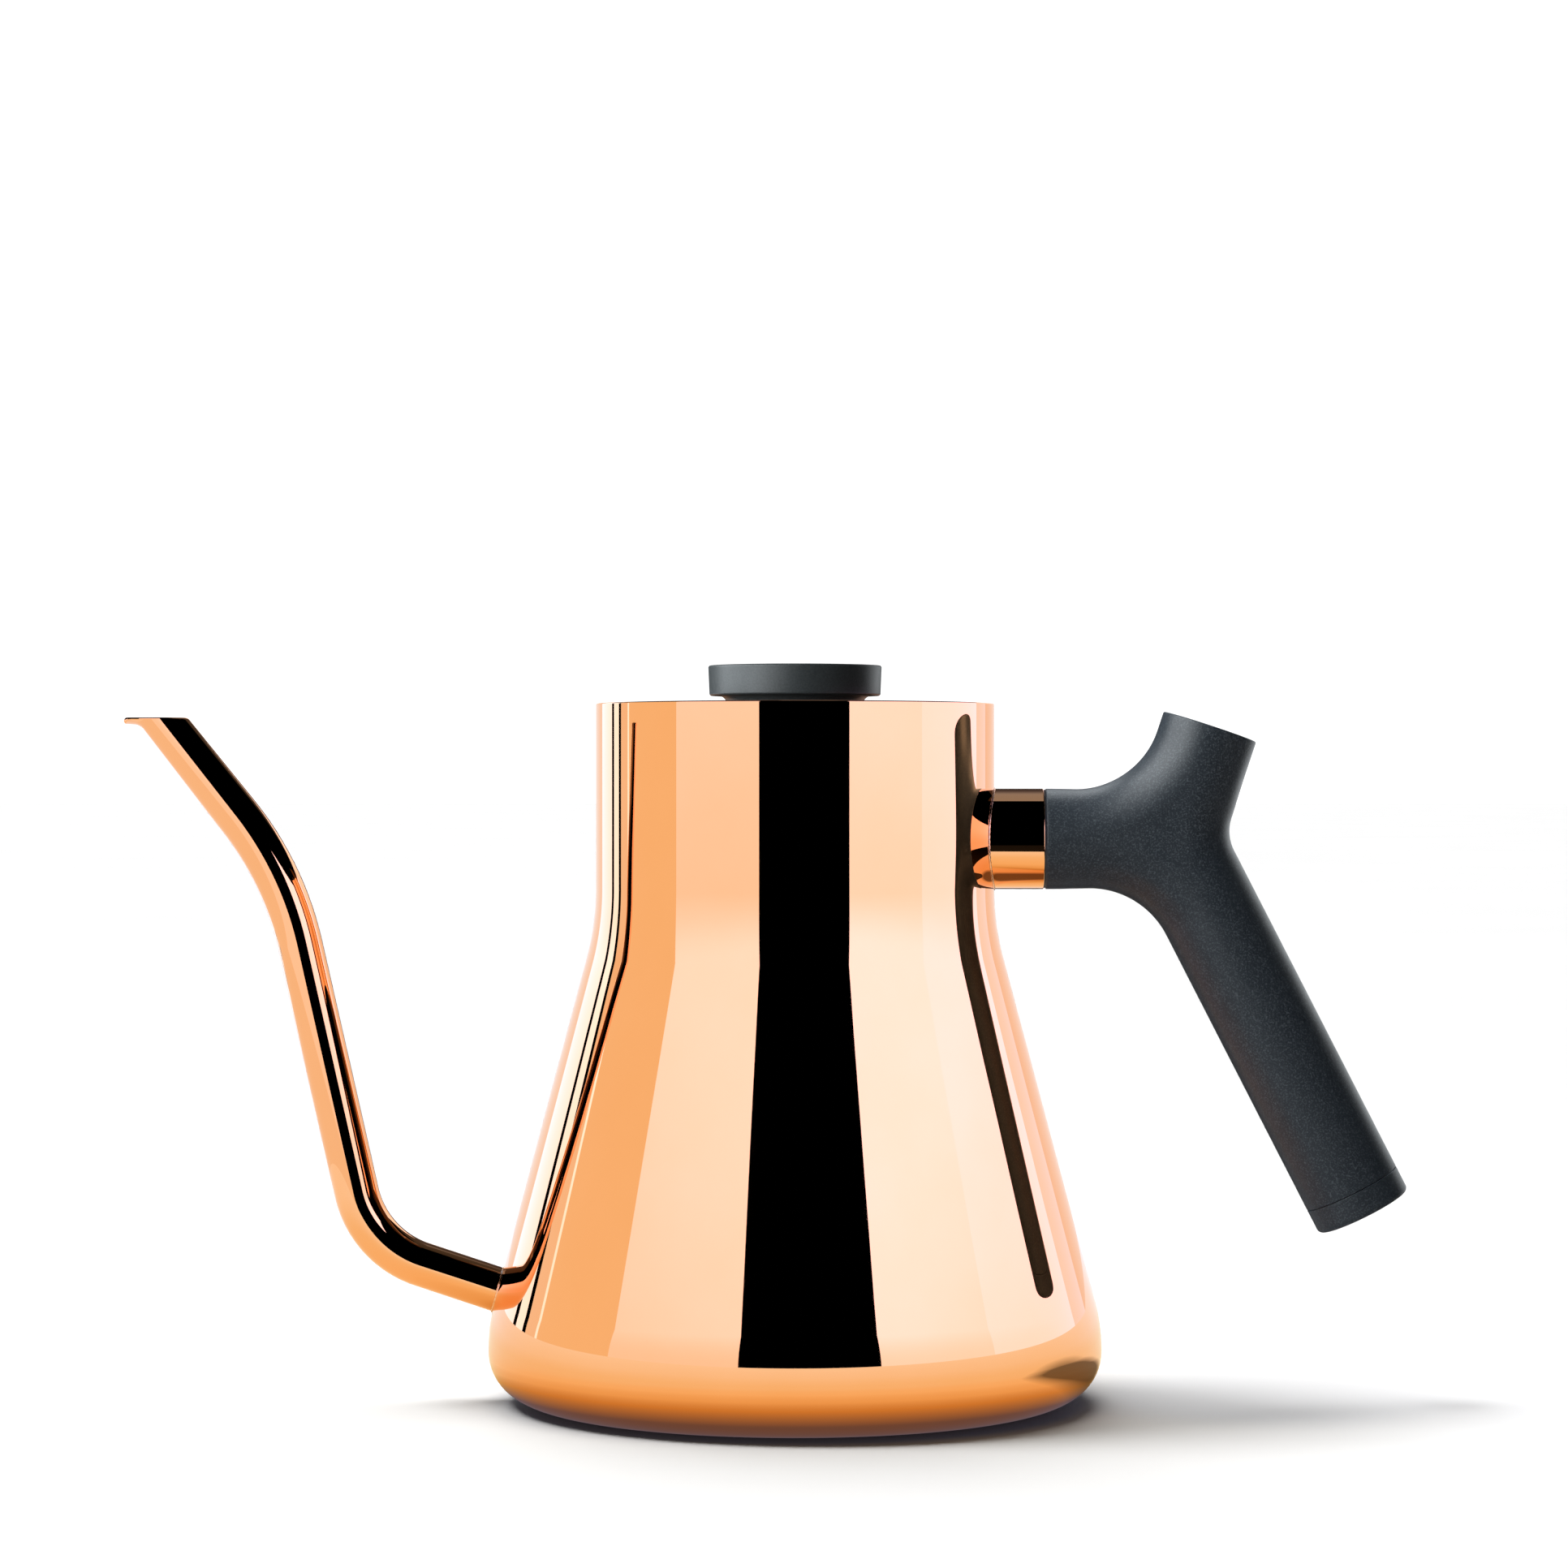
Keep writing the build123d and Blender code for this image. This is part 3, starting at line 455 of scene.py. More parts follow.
def body_radius(height):
    """Outer radius of the body at a height, on the cone, the knee or the cylinder."""
    height = np.asarray(height, float)
    cone = RIM_RADIUS + (KNEE_HEIGHT - height) * CONE_SLOPE
    drop = np.clip(knee_centre[1] - height, 0, KNEE_BEND * CONE_SIN)
    knee = knee_centre[0] - np.sqrt(KNEE_BEND ** 2 - drop ** 2)
    return np.where(height > knee_centre[1] - KNEE_BEND * CONE_SIN, knee, cone)


# ---------------- spout
SPOUT_STEPS = 72
ROOT_DEPTH = 0.2    # how deep the spout and the sleeve reach into the body's wall
SIDE = np.array([0.0, 1.0, 0.0])


def bent_centreline(points, radii, step=2.0):
    """Centreline in the plane Y = 0 with rounded corners: (point, direction) pairs."""
    corners = [np.array([x, 0.0, z]) for x, z in points]
    line = []
    for i, radius in enumerate(radii, 1):
        before = corners[i] - corners[i - 1]
        after = corners[i + 1] - corners[i]
        before, after = before / np.linalg.norm(before), after / np.linalg.norm(after)
        turn = math.acos(float(np.clip(before @ after, -1, 1)))
        entry = corners[i] - before * radius * math.tan(turn / 2)
        inward = after - before * float(before @ after)
        inward /= np.linalg.norm(inward)
        centre = entry + inward * radius
        if i == 1:
            line.append((corners[0], before))
        pieces = math.ceil(math.degrees(turn) / step)
        for k in range(pieces + 1):
            angle = turn * k / pieces
            direction = before * math.cos(angle) + inward * math.sin(angle)
            outward = before * math.sin(angle) - inward * math.cos(angle)
            line.append((centre + outward * radius, direction))
    line.append((corners[-1], line[-1][1]))
    return line


def round_row(point, direction, radius, steps=SPOUT_STEPS):
    """Ring of points and radial normals round a centreline point in the plane Y = 0."""
    angles = np.linspace(0, 2 * math.pi, steps, endpoint=False)
    up = np.cross(direction, SIDE)
    normals = np.outer(np.cos(angles), up) + np.outer(np.sin(angles), SIDE)
    if np.dot(np.cross(normals[0], normals[1]), direction) < 0:
        normals = np.outer(np.cos(angles), up) - np.outer(np.sin(angles), SIDE)
    return point + radius * normals, normals


LEAN_SIN, LEAN_COS = math.sin(math.radians(TIP_LEAN)), math.cos(math.radians(TIP_LEAN))
mid_angle = math.degrees(math.atan2(UPPER_BEND[1] - LOWER_BEND[1], LOWER_BEND[0] - UPPER_BEND[0]))
upper_turn = mid_angle - (90 - TIP_LEAN)
BEND_END = UPPER_BEND_RADIUS * math.tan(math.radians(upper_turn / 2)) + 2.0
TIP_LENGTH = (OUTLET_HEIGHT - UPPER_BEND[1]) / LEAN_COS - BEND_END
root_drop = (SPOUT_ROOT_X - LOWER_BEND[0]) * math.tan(math.radians(SPOUT_ROOT_SLOPE))
root_point = (SPOUT_ROOT_X, LOWER_BEND[1] - root_drop)
tip_point = (UPPER_BEND[0] - BEND_END * LEAN_SIN, UPPER_BEND[1] + BEND_END * LEAN_COS)
FLARE_START = TIP_LENGTH + LIP_START


def tip_shape(along, radius, bend, turn):
    """Radius of a wall of the spout's tip past its bend, and its normal's radial and axial parts.

    The wall tapers, then bends outward through a turn in degrees and runs on straight.
    """
    taper = (SPOUT_TIP_RADIUS - SPOUT_RADIUS) / FLARE_START
    straight = radius - taper * (FLARE_START - np.minimum(along, FLARE_START))
    past = np.clip(along - FLARE_START, 0, None)
    limit = bend * math.sin(math.radians(turn))
    curved = np.minimum(past, limit)
    flare = bend - np.sqrt(bend ** 2 - curved ** 2) + (past - curved) * math.tan(math.radians(turn))
    return straight + flare, np.sqrt(1 - (curved / bend) ** 2), -curved / bend


def tip_surface(wall, along):
    """Points and normals of a wall of the spout's tip, one for each generator."""
    base = np.array([tip_point[0], 0.0, tip_point[1]])
    direction = np.array([-LEAN_SIN, 0.0, LEAN_COS])
    radial = round_row(base, direction, 1.0)[1]
    radius, out, axial = tip_shape(along, *wall)
    points = base + np.outer(along, direction) + radial * radius[:, None]
    return points, radial * out[:, None] + np.outer(axial, direction)


def tip_rows(wall, side, rounding, rows=40):
    """Rows up a wall of the spout's tip, and the centres of the rounding that ends each generator.

    side is +1 for the outside and -1 for the bore; the rounding reaches up to the level of the outlet.
    """
    low, high = np.zeros(SPOUT_STEPS), np.full(SPOUT_STEPS, 2 * TIP_LENGTH)
    for _ in range(50):
        middle = (low + high) / 2
        points, normals = tip_surface(wall, middle)
        reach = points[:, 2] - side * rounding * normals[:, 2] + rounding
        low = np.where(reach < OUTLET_HEIGHT, middle, low)
        high = np.where(reach < OUTLET_HEIGHT, high, middle)
    made = [tip_surface(wall, low * (1 - (1 - k / rows) ** 1.5)) for k in range(rows + 1)]
    points, normals = made[-1]
    return made, points - normals * (side * rounding)[:, None]


def brim_rounding(wall):
    """Rounding of the outer edge: a round nose at the end of the lip, a soft corner at the back."""
    turn = math.radians(LIP_TURN)
    lip_end = FLARE_START + LIP_BEND * math.sin(turn) + LIP_REACH * math.cos(turn)
    points, normals = tip_surface(wall, np.full(SPOUT_STEPS, lip_end))
    nose = (OUTLET_HEIGHT - points[:, 2]) / (1 - normals[:, 2])
    back = np.clip(tip_surface(wall, np.zeros(SPOUT_STEPS))[1][:, 0] / LEAN_COS, 0, 1)
    return np.maximum(nose, BRIM_ROUND + (BACK_ROUND - BRIM_ROUND) * back ** 2)


def rounded_edge(centres, normals, rounding, pieces=8):
    """Rows of a rounding that turns a wall's end normals straight up."""
    up = np.array([0.0, 0.0, 1.0])
    whole = np.arccos(np.clip(normals @ up, -1, 1))
    rows = []
    for k in range(pieces + 1):
        part = k / pieces
        blend = (np.sin((1 - part) * whole)[:, None] * normals + np.outer(np.sin(part * whole), up))
        blend /= np.linalg.norm(blend, axis=1)[:, None]
        rows.append((centres + blend * rounding[:, None], blend))
    return rows


def on_body(row, direction, depth):
    """Moves each point of a row along a direction until it lies depth inside the body's surface."""
    moved = row.copy()
    for _ in range(40):
        gap = np.hypot(moved[:, 0], moved[:, 1]) - body_radius(moved[:, 2]) + depth
        moved = moved - np.outer(gap * 0.9, direction)
    return moved


def spout():
    """Spout as one closed skin: outside, brim, bore and the hidden edge inside the body's wall."""
    corners = [root_point, LOWER_BEND, UPPER_BEND, tip_point]
    line = bent_centreline(corners, [LOWER_BEND_RADIUS, UPPER_BEND_RADIUS])
    away = line[0][1]
    outer_wall = (SPOUT_TIP_RADIUS, LIP_BEND, LIP_TURN)
    inner_wall = (SPOUT_TIP_RADIUS - WALL, LIP_INNER_BEND, LIP_INNER_TURN)
    runs, edges = [], []
    for radius, wall, side, rounding in (
            (SPOUT_RADIUS, outer_wall, 1, brim_rounding(outer_wall)),
            (SPOUT_RADIUS - WALL, inner_wall, -1, np.full(SPOUT_STEPS, BORE_EDGE_ROUND))):
        rows = [round_row(point, direction, radius) for point, direction in line[:-1]]
        rows[0] = (on_body(rows[0][0], away, ROOT_DEPTH), rows[0][1])
        tip, centres = tip_rows(wall, side, rounding)
        runs.append([(points, side * normals) for points, normals in rows + tip][::side])
        edges.append(rounded_edge(centres, side * tip[-1][1], rounding)[::side])
    end_normals = np.tile(-away, (SPOUT_STEPS, 1))
    root = [(runs[1][-1][0], end_normals), (runs[0][0][0], end_normals)]
    skins = [runs[0], edges[0] + edges[1], runs[1], root]
    return skin("spout", skins, None, (COPPER, INNER_STEEL), (0, 0, 1, 1))


dress(spout(), "kettle", "copper_polish", "spout_tube")


def rippled_bead(name, centres, outward, size, ripples, material):
    """Weld bead: a thin closed tube along a ring of points whose thickness ripples like laid metal."""
    count = len(centres)
    ahead = np.roll(centres, -1, 0) - np.roll(centres, 1, 0)
    ahead /= np.linalg.norm(ahead, axis=1)[:, None]
    sideways = np.cross(ahead, outward)
    sideways /= np.linalg.norm(sideways, axis=1)[:, None]
    lifted = np.cross(sideways, ahead)
    swell = 0.72 + 0.28 * np.abs(np.sin(np.arange(count) * math.pi * ripples / count))
    rows = []
    for angle in np.linspace(0, 2 * math.pi, 12, endpoint=False):
        normals = lifted * math.cos(angle) + sideways * math.sin(angle)
        rows.append((centres + normals * (size * swell)[:, None], normals))
    rows.append(rows[0])
    return skin(name, [rows[::-1]], None, (material,))


def bead_ring(origin, direction, radius, steps):
    """Points where a round tube meets the body, and the tube's outward normals there."""
    points, normals = round_row(np.array(origin), np.array(direction), radius, steps)
    return on_body(points, np.array(direction), 0.0), normals


root_direction = (-math.cos(math.radians(SPOUT_ROOT_SLOPE)), 0.0, math.sin(math.radians(SPOUT_ROOT_SLOPE)))
ring, out = bead_ring((root_point[0], 0.0, root_point[1]), root_direction, SPOUT_RADIUS, 336)
bead = rippled_bead("spout_weld", ring, out, size=0.33, ripples=28, material=WELD)
dress(bead, "kettle", "weld_bead", "spout_weld_bead")

# ---------------- sleeve and its weld
ring, out = bead_ring((RIM_RADIUS, 0.0, NECK_HEIGHT), (1.0, 0.0, 0.0), NECK_RADIUS, 480)
bead = rippled_bead("sleeve_weld", ring, out, size=0.3, ripples=60, material=WELD)
dress(bead, "kettle", "weld_bead", "sleeve_weld_bead")


SLEEVE_STEPS = 160
SLEEVE_X = 50.0    # start of the sleeve's straight part; its first rows are then moved to the body


def sleeve():
    """Bright sleeve from the body to the handle, with a softly broken outer edge."""
    axis = np.array([1.0, 0.0, 0.0])
    origin = np.array([0.0, 0.0, NECK_HEIGHT])
    outline = rounded([(NECK_RADIUS, SLEEVE_X, 0), (NECK_RADIUS, NECK_END_X, 0.2),
                       (NECK_BORE_RADIUS, NECK_END_X, 0.1), (NECK_BORE_RADIUS, SLEEVE_X, 0)], closed=False)
    runs = []
    for run in outline:
        rows = []
        for (radius, along), (out, ahead) in run:
            points, normals = round_row(origin + axis * along, axis, radius, SLEEVE_STEPS)
            rows.append((points, normals * out + axis * ahead))
        runs.append(rows)
    runs[0][0] = (on_body(runs[0][0][0], axis, ROOT_DEPTH), runs[0][0][1])
    runs[-1][-1] = (on_body(runs[-1][-1][0], axis, ROOT_DEPTH), runs[-1][-1][1])
    back = np.tile(-axis, (SLEEVE_STEPS, 1))
    runs.append([(runs[-1][-1][0], back), (runs[0][0][0], back)])
    return skin("sleeve", runs, None, (COPPER,))


dress(sleeve(), "kettle", "copper_polish", "neck_sleeve")

# ---------------- handle
grip_place = axis_place(FORK_X, NECK_HEIGHT, 180 - GRIP_LEAN)
arm_place = axis_place(FORK_X, NECK_HEIGHT, ARM_LEAN)


def limb_direction(lean):
    """Direction of a limb in the plane Y = 0, as (x, z)."""
    return np.array([math.sin(math.radians(lean)), math.cos(math.radians(lean))])


ARM_WAY = limb_direction(ARM_LEAN)
GRIP_WAY = limb_direction(180 - GRIP_LEAN)
NECK_WAY = np.array([-1.0, 0.0])


def side_of(own, other):
    """Unit direction square to one limb and on the side of the other."""
    sideways = other - own * float(own @ other)
    return sideways / np.linalg.norm(sideways)


def hollow_centre(first, second, reach):
    """Point between two limbs that lies at one distance from both of their axes."""
    normals = np.array([side_of(first, second), side_of(second, first)])
    return np.linalg.solve(normals, np.array([reach, reach]))


HOLLOWS = [(NECK_WAY, ARM_WAY, HANDLE_BEND), (NECK_WAY, GRIP_WAY, HANDLE_BEND),
           (ARM_WAY, GRIP_WAY, CROTCH_REACH)]


def smooth_step(value, low, high):
    t = np.clip((value - low) / (high - low), 0, 1)
    return t * t * (3 - 2 * t)


def wedge_distance(spots, first, second):
    """Signed distance of points from the wedge between two rays that start at the origin."""
    gaps, sides = [], []
    for own, other in ((first, second), (second, first)):
        along = np.clip(spots @ own, 0, None)
        gaps.append(np.linalg.norm(spots - np.outer(along, own), axis=1))
        sides.append(spots @ side_of(own, other) > 0)
    gap = np.minimum(*gaps)
    return np.where(sides[0] & sides[1], -gap, gap)


def handle_distance(points):
    """Distance outside the handle: round limbs with a smooth flat web where they join.

    The three hollows between the limbs are rounded wedges; what they leave is the side view.
    """
    spots = points[:, [0, 2]] - np.array([FORK_X, NECK_HEIGHT])
    offset = np.full(len(points), -np.inf)
    for first, second, reach in HOLLOWS:
        centre = hollow_centre(first, second, reach)
        offset = np.maximum(offset, reach - wedge_distance(spots - centre, first, second))
    neck = 1 - smooth_step(points[:, 0], HANDLE_START_X, HANDLE_START_X + NECK_TAPER_LENGTH)
    arm = smooth_step(spots @ ARM_WAY, *ARM_TAPER)
    radius = GRIP_RADIUS + (NECK_RADIUS - GRIP_RADIUS) * neck + (ARM_RADIUS - GRIP_RADIUS) * arm
    return np.hypot(np.clip(offset, 0, None), points[:, 1]) - radius


def gradient(distance, points, step=0.01):
    """Direction in which a distance grows fastest."""
    parts = []
    for axis in range(3):
        shift = np.zeros(3)
        shift[axis] = step
        parts.append((distance(points + shift) - distance(points - shift)) / (2 * step))
    return np.stack(parts, 1)


ROUGH_MARGIN = 3.0     # extra length of the rough limbs, cut off when the ends are closed
ROUGH_VOXEL = 0.7
BEND_BALLS = 24


def handle_block():
    """Rough solid round the handle's three limbs, longer than each of them, for the voxel remesh."""
    rough = bmesh.new()
    limbs = [(axis_place(FORK_X, NECK_HEIGHT, -90), FORK_X - HANDLE_START_X),
             (arm_place, ARM_LENGTH), (grip_place, GRIP_LENGTH)]
    for place, reach in limbs:
        length = reach + ROUGH_MARGIN
        shift = Matrix.Translation((0, 0, length / 2))
        bmesh.ops.create_cone(rough, cap_ends=True, segments=64, radius1=GRIP_RADIUS, radius2=GRIP_RADIUS,
                              depth=length, matrix=place @ shift)
    for lean, swing in ((ARM_LEAN, 1), (180 - GRIP_LEAN, -1)):
        turn = math.acos(math.sin(math.radians(lean)))
        cut = HANDLE_BEND * math.tan(turn / 2)
        centre = Vector((FORK_X - cut, 0, NECK_HEIGHT + swing * HANDLE_BEND))
        for k in range(BEND_BALLS + 1):
            angle = turn * k / BEND_BALLS
            spot = centre + Vector((math.sin(angle), 0, -swing * math.cos(angle))) * HANDLE_BEND
            bmesh.ops.create_icosphere(rough, subdivisions=4, radius=GRIP_RADIUS,
                                       matrix=Matrix.Translation(spot))
    block = shape_piece("handle_rough", rough)
    remesh = block.modifiers.new("voxels", "REMESH")
    remesh.mode, remesh.voxel_size = "VOXEL", ROUGH_VOXEL
    fine = evaluated_mesh(block)
    bpy.data.objects.remove(block)
    return fine


CORNER_PIECES = 4


def close_end(shape, loop, centre, axis, corner):
    """Closes a round opening with a rounded edge and a flat face."""
    rim = loop
    for k in range(CORNER_PIECES):
        before, angle = (math.radians(90 * part / CORNER_PIECES) for part in (k, k + 1))
        made = bmesh.ops.extrude_edge_only(shape, edges=rim)
        verts = [v for v in made["geom"] if isinstance(v, bmesh.types.BMVert)]
        for vert in verts:
            across = vert.co - centre
            across -= axis * across.dot(axis)
            length = across.length
            vert.co -= across * (corner * (math.cos(before) - math.cos(angle)) / length)
            vert.co += axis * corner * (math.sin(angle) - math.sin(before))
        rim = [e for e in made["geom"] if isinstance(e, bmesh.types.BMEdge)]
    bmesh.ops.edgeloop_fill(shape, edges=rim)
    for edge in rim:
        edge.smooth = False


def limb_end(place, length):
    """Centre of a limb's end and the direction it faces."""
    return place @ Vector((0, 0, length)), place.to_3x3() @ Vector((0, 0, 1))


def handle():
    """Handle as one smooth blended skin with rounded flat ends."""
    mesh = handle_block()
    points = np.empty(len(mesh.vertices) * 3)
    mesh.vertices.foreach_get("co", points)
    points = points.reshape(-1, 3)
    for _ in range(12):
        slope = gradient(handle_distance, points)
        step = handle_distance(points) / np.maximum((slope ** 2).sum(1), 0.25)
        points = points - slope * step[:, None]
    mesh.vertices.foreach_set("co", points.ravel())
    shape = bmesh.new()
    shape.from_mesh(mesh)
    ends = [(Vector((HANDLE_START_X, 0, NECK_HEIGHT)), Vector((-1, 0, 0)), END_CORNER),
            (*limb_end(arm_place, ARM_LENGTH), END_CORNER),
            (*limb_end(grip_place, GRIP_LENGTH), SEAM_CORNER)]
    for centre, axis, corner in ends:
        cut = centre - axis * corner
        geometry = shape.verts[:] + shape.edges[:] + shape.faces[:]
        made = bmesh.ops.bisect_plane(shape, geom=geometry, dist=1e-5, plane_co=cut, plane_no=axis,
                                      clear_outer=True)
        loop = [e for e in made["geom_cut"] if isinstance(e, bmesh.types.BMEdge)]
        close_end(shape, loop, cut, axis, corner)
    bmesh.ops.dissolve_degenerate(shape, dist=1e-4, edges=shape.edges[:])
    bmesh.ops.recalc_face_normals(shape, faces=shape.faces[:])
    for face in shape.faces:
        face.smooth = True
    bmesh.ops.scale(shape, vec=(MM, MM, MM), verts=shape.verts)
    shape.to_mesh(mesh)
    shape.free()
    mesh.name = "handle"
    return finish_piece("handle", mesh, (HANDLE_PLASTIC,))


dress(handle(), "kettle", "handle_moulding", "handle_shell")


def handle_cap():
    """End cap: a narrow groove at the seam and a softly domed end with a rounded edge."""
    seam, end = GRIP_LENGTH, GRIP_LENGTH + CAP_LENGTH
    corner = (GRIP_RADIUS - CAP_CORNER, end)
    rise = (corner[0] ** 2 + CAP_DOME ** 2) / (2 * CAP_DOME)
    half = math.degrees(math.asin(corner[0] / rise))
    dome = arc_run((0, end + CAP_DOME - rise), rise, 90 - half, 90, 0.6)
    dome[-1] = ((0.0, end + CAP_DOME), (0.0, 1.0))
    edge = arc_run((corner[0], end - CAP_CORNER), CAP_CORNER, 0, 90, 10.0)
    groove = seam + SEAM_GROOVE_WIDTH
    foot = rounded([(0, seam, 0), (GRIP_RADIUS - SEAM_GROOVE_DEPTH, seam, 0),
                    (GRIP_RADIUS - SEAM_GROOVE_DEPTH, groove, 0), (GRIP_RADIUS, groove, SEAM_CORNER),
                    (GRIP_RADIUS, end - CAP_CORNER, 0)], closed=False)
    return lathe("handle_cap", foot + [edge, dome], (CAP_PLASTIC,), grip_place)


dress(handle_cap(), "kettle", "cap_moulding", "handle_end_cap")

# ---------------- lid plate and knob
BUSH_HOLE = 4.05


def lid_plate():
    """Thin copper disc with a rounded edge and a short skirt; its steam vents are drilled afterwards."""
    shoulder = LID_RADIUS - LID_CORNER
    inside = LID_RADIUS - WALL
    outline = rounded([(BUSH_HOLE, LID_TOP - WALL, 0), (inside, LID_TOP - WALL, LID_CORNER - WALL),
                       (inside, LID_BOTTOM, 0.2), (LID_RADIUS, LID_BOTTOM, 0.2),
                       (LID_RADIUS, LID_TOP, LID_CORNER), (shoulder - 12, LID_TOP, 0),
                       (BUSH_HOLE, LID_TOP, 0)])
    return lathe("lid_top", outline, (COPPER,), steps=240)


def drill_holes(piece, holes, low, high):
    """Cuts round holes, given as (x, y, radius), through a piece between two heights."""
    cutter_shape = bmesh.new()
    for x, y, radius in holes:
        place = Matrix.Translation((x * MM, y * MM, (low + high) / 2 * MM))
        bmesh.ops.create_cone(cutter_shape, cap_ends=True, segments=48, radius1=radius * MM,
                              radius2=radius * MM, depth=(high - low) * MM, matrix=place)
    drill = shape_piece("drill", cutter_shape)
    cut = piece.modifiers.new("vents", "BOOLEAN")
    cut.operation, cut.object, cut.solver = "DIFFERENCE", drill, "EXACT"
    made = evaluated_mesh(piece)
    piece.modifiers.clear()
    piece.data = made
    bpy.data.objects.remove(drill)


plate = lid_plate()
vents = [(VENT_PITCH_RADIUS * math.cos(angle), VENT_PITCH_RADIUS * math.sin(angle), VENT_RADIUS)
         for angle in map(math.radians, VENT_ANGLES)]
drill_holes(plate, vents, LID_TOP - 2, LID_TOP + 1)
dress(plate, "lid", "copper_polish", "lid_plate")

CASE_FOOT_RADIUS = 15.6
CASE_BOTTOM_RADIUS = 19.5
CASE_TOP_RADIUS = 19.8
CASE_SKIRT = 160.8
CASE_TOP = 167.7
CASE_FLOOR = 163.0
BUSH_SEAT = 162.0
BUSH_WELL = 7.05
LENS_LEDGE = 165.6
DIAL_WELL = 16.6
LENS_WELL = 17.6
DIAL_RADIUS = 16.4
DIAL_HOLE = 1.0
DIAL_TOP = 163.4
DIAL_RIM_WIDTH = 0.5


def knob():
    """Puck-shaped case of the thermometer, hollowed under its skirt, with wells for dial and lens."""
    outline = rounded([
        (CASE_FOOT_RADIUS, LID_TOP, 0), (CASE_FOOT_RADIUS, CASE_SKIRT, 1.9),
        (CASE_BOTTOM_RADIUS, CASE_SKIRT, 0.5), (CASE_TOP_RADIUS, CASE_TOP, 0.45),
        (LENS_WELL, CASE_TOP, 0.15), (LENS_WELL, LENS_LEDGE, 0), (DIAL_WELL, LENS_LEDGE, 0.1),
        (DIAL_WELL, CASE_FLOOR, 0), (BUSH_WELL, CASE_FLOOR, 0), (BUSH_WELL, BUSH_SEAT, 0),
        (BUSH_HOLE, BUSH_SEAT, 0), (BUSH_HOLE, LID_TOP, 0)])
    return lathe("knob", outline, (KNOB_PLASTIC,), steps=200)


dress(knob(), "lid", "knob_moulding", "thermometer_case")


# ---------------- dial
def dial():
    """Dial disc with a small raised rim."""
    rim, face = DIAL_RADIUS - DIAL_RIM_WIDTH, DIAL_TOP - 0.1
    outline = rounded([(DIAL_HOLE, CASE_FLOOR, 0), (DIAL_RADIUS, CASE_FLOOR, 0.05),
                       (DIAL_RADIUS, DIAL_TOP, 0.05), (rim, DIAL_TOP, 0.05), (rim - 0.1, face, 0.03),
                       (DIAL_HOLE, face, 0)])
    return lathe("dial", outline, (DIAL_PLASTIC,))


dress(dial(), "lid", "dial_print", "dial_face")

MARK_BASE = DIAL_TOP - 0.12
MARK_TOP = DIAL_TOP - 0.04
SWEEP = 270.0
MARK_RADIUS = 15.2          # outer end of the scale's marks
BREW_BAND = (13.9, 14.6)
BREW_RANGE = (0.8125, 0.9375)
NUMBER_RADIUS = 10.9
NUMBER_SIZE = 2.6


def dial_sector(shape, inner, outer, start, end, pieces):
    """Closed flat piece of a ring between two clockwise angles from the pointer's rest."""
    rings = []
    for k in range(pieces + 1):
        angle = -math.radians(start + (end - start) * k / pieces)
        corners = [(inner, MARK_BASE), (outer, MARK_BASE), (outer, MARK_TOP), (inner, MARK_TOP)]
        rings.append([shape.verts.new((r * MM * math.cos(angle), r * MM * math.sin(angle), z * MM))
                      for r, z in corners])
    for a, b in zip(rings, rings[1:]):
        for k in range(4):
            shape.faces.new((a[k], a[(k + 1) % 4], b[(k + 1) % 4], b[k]))
    shape.faces.new(rings[0][::-1])
    shape.faces.new(rings[-1])


def mark_piece(name, shape, material):
    """Raised print on the dial, with its faces turned outwards."""
    bmesh.ops.recalc_face_normals(shape, faces=shape.faces[:])
    return shape_piece(name, shape, material)


def scale_marks():
    """Ring of marks, one for every five degrees Celsius, longer at every twenty."""
    shape = bmesh.new()
    for k in range(17):
        angle = SWEEP * k / 16
        length, half = (2.0, 0.9) if k % 4 == 0 else (1.2, 0.5)
        dial_sector(shape, MARK_RADIUS - length, MARK_RADIUS, angle - half, angle + half, 1)
    return mark_piece("dial_marks", shape, MARK_PAINT)


dress(scale_marks(), "lid", "dial_print")
brew = bmesh.new()
dial_sector(brew, *BREW_BAND, SWEEP * BREW_RANGE[0], SWEEP * BREW_RANGE[1], 12)
dress(mark_piece("dial_brew_range", brew, BREW_PAINT), "lid", "dial_print")


def dial_number(value, fraction):
    """Raised number on the dial, upright when the middle of the scale is at the top."""
    letters = bpy.data.curves.new(f"number_{value}", "FONT")
    letters.body = str(value)
    letters.size = NUMBER_SIZE * MM
    letters.align_x, letters.align_y = "CENTER", "CENTER"
    letters.extrude = (MARK_TOP - MARK_BASE) / 2 * MM
    carrier = bpy.data.objects.new("number_source", letters)
    bpy.context.scene.collection.objects.link(carrier)
    mesh = evaluated_mesh(carrier)
    bpy.data.objects.remove(carrier)
    angle = -math.radians(SWEEP * fraction)
    upright = Matrix.Rotation(math.radians(-SWEEP / 2 - 90), 4, "Z")
    spot = Vector((NUMBER_RADIUS * math.cos(angle), NUMBER_RADIUS * math.sin(angle),
                   (MARK_BASE + MARK_TOP) / 2)) * MM
    mesh.transform(Matrix.Translation(spot) @ upright)
    mesh.materials.clear()
    return finish_piece(f"dial_number_{value}", mesh, (MARK_PAINT,))


for step in range(5):
    dress(dial_number(20 + 20 * step, step / 4), "lid", "dial_print")

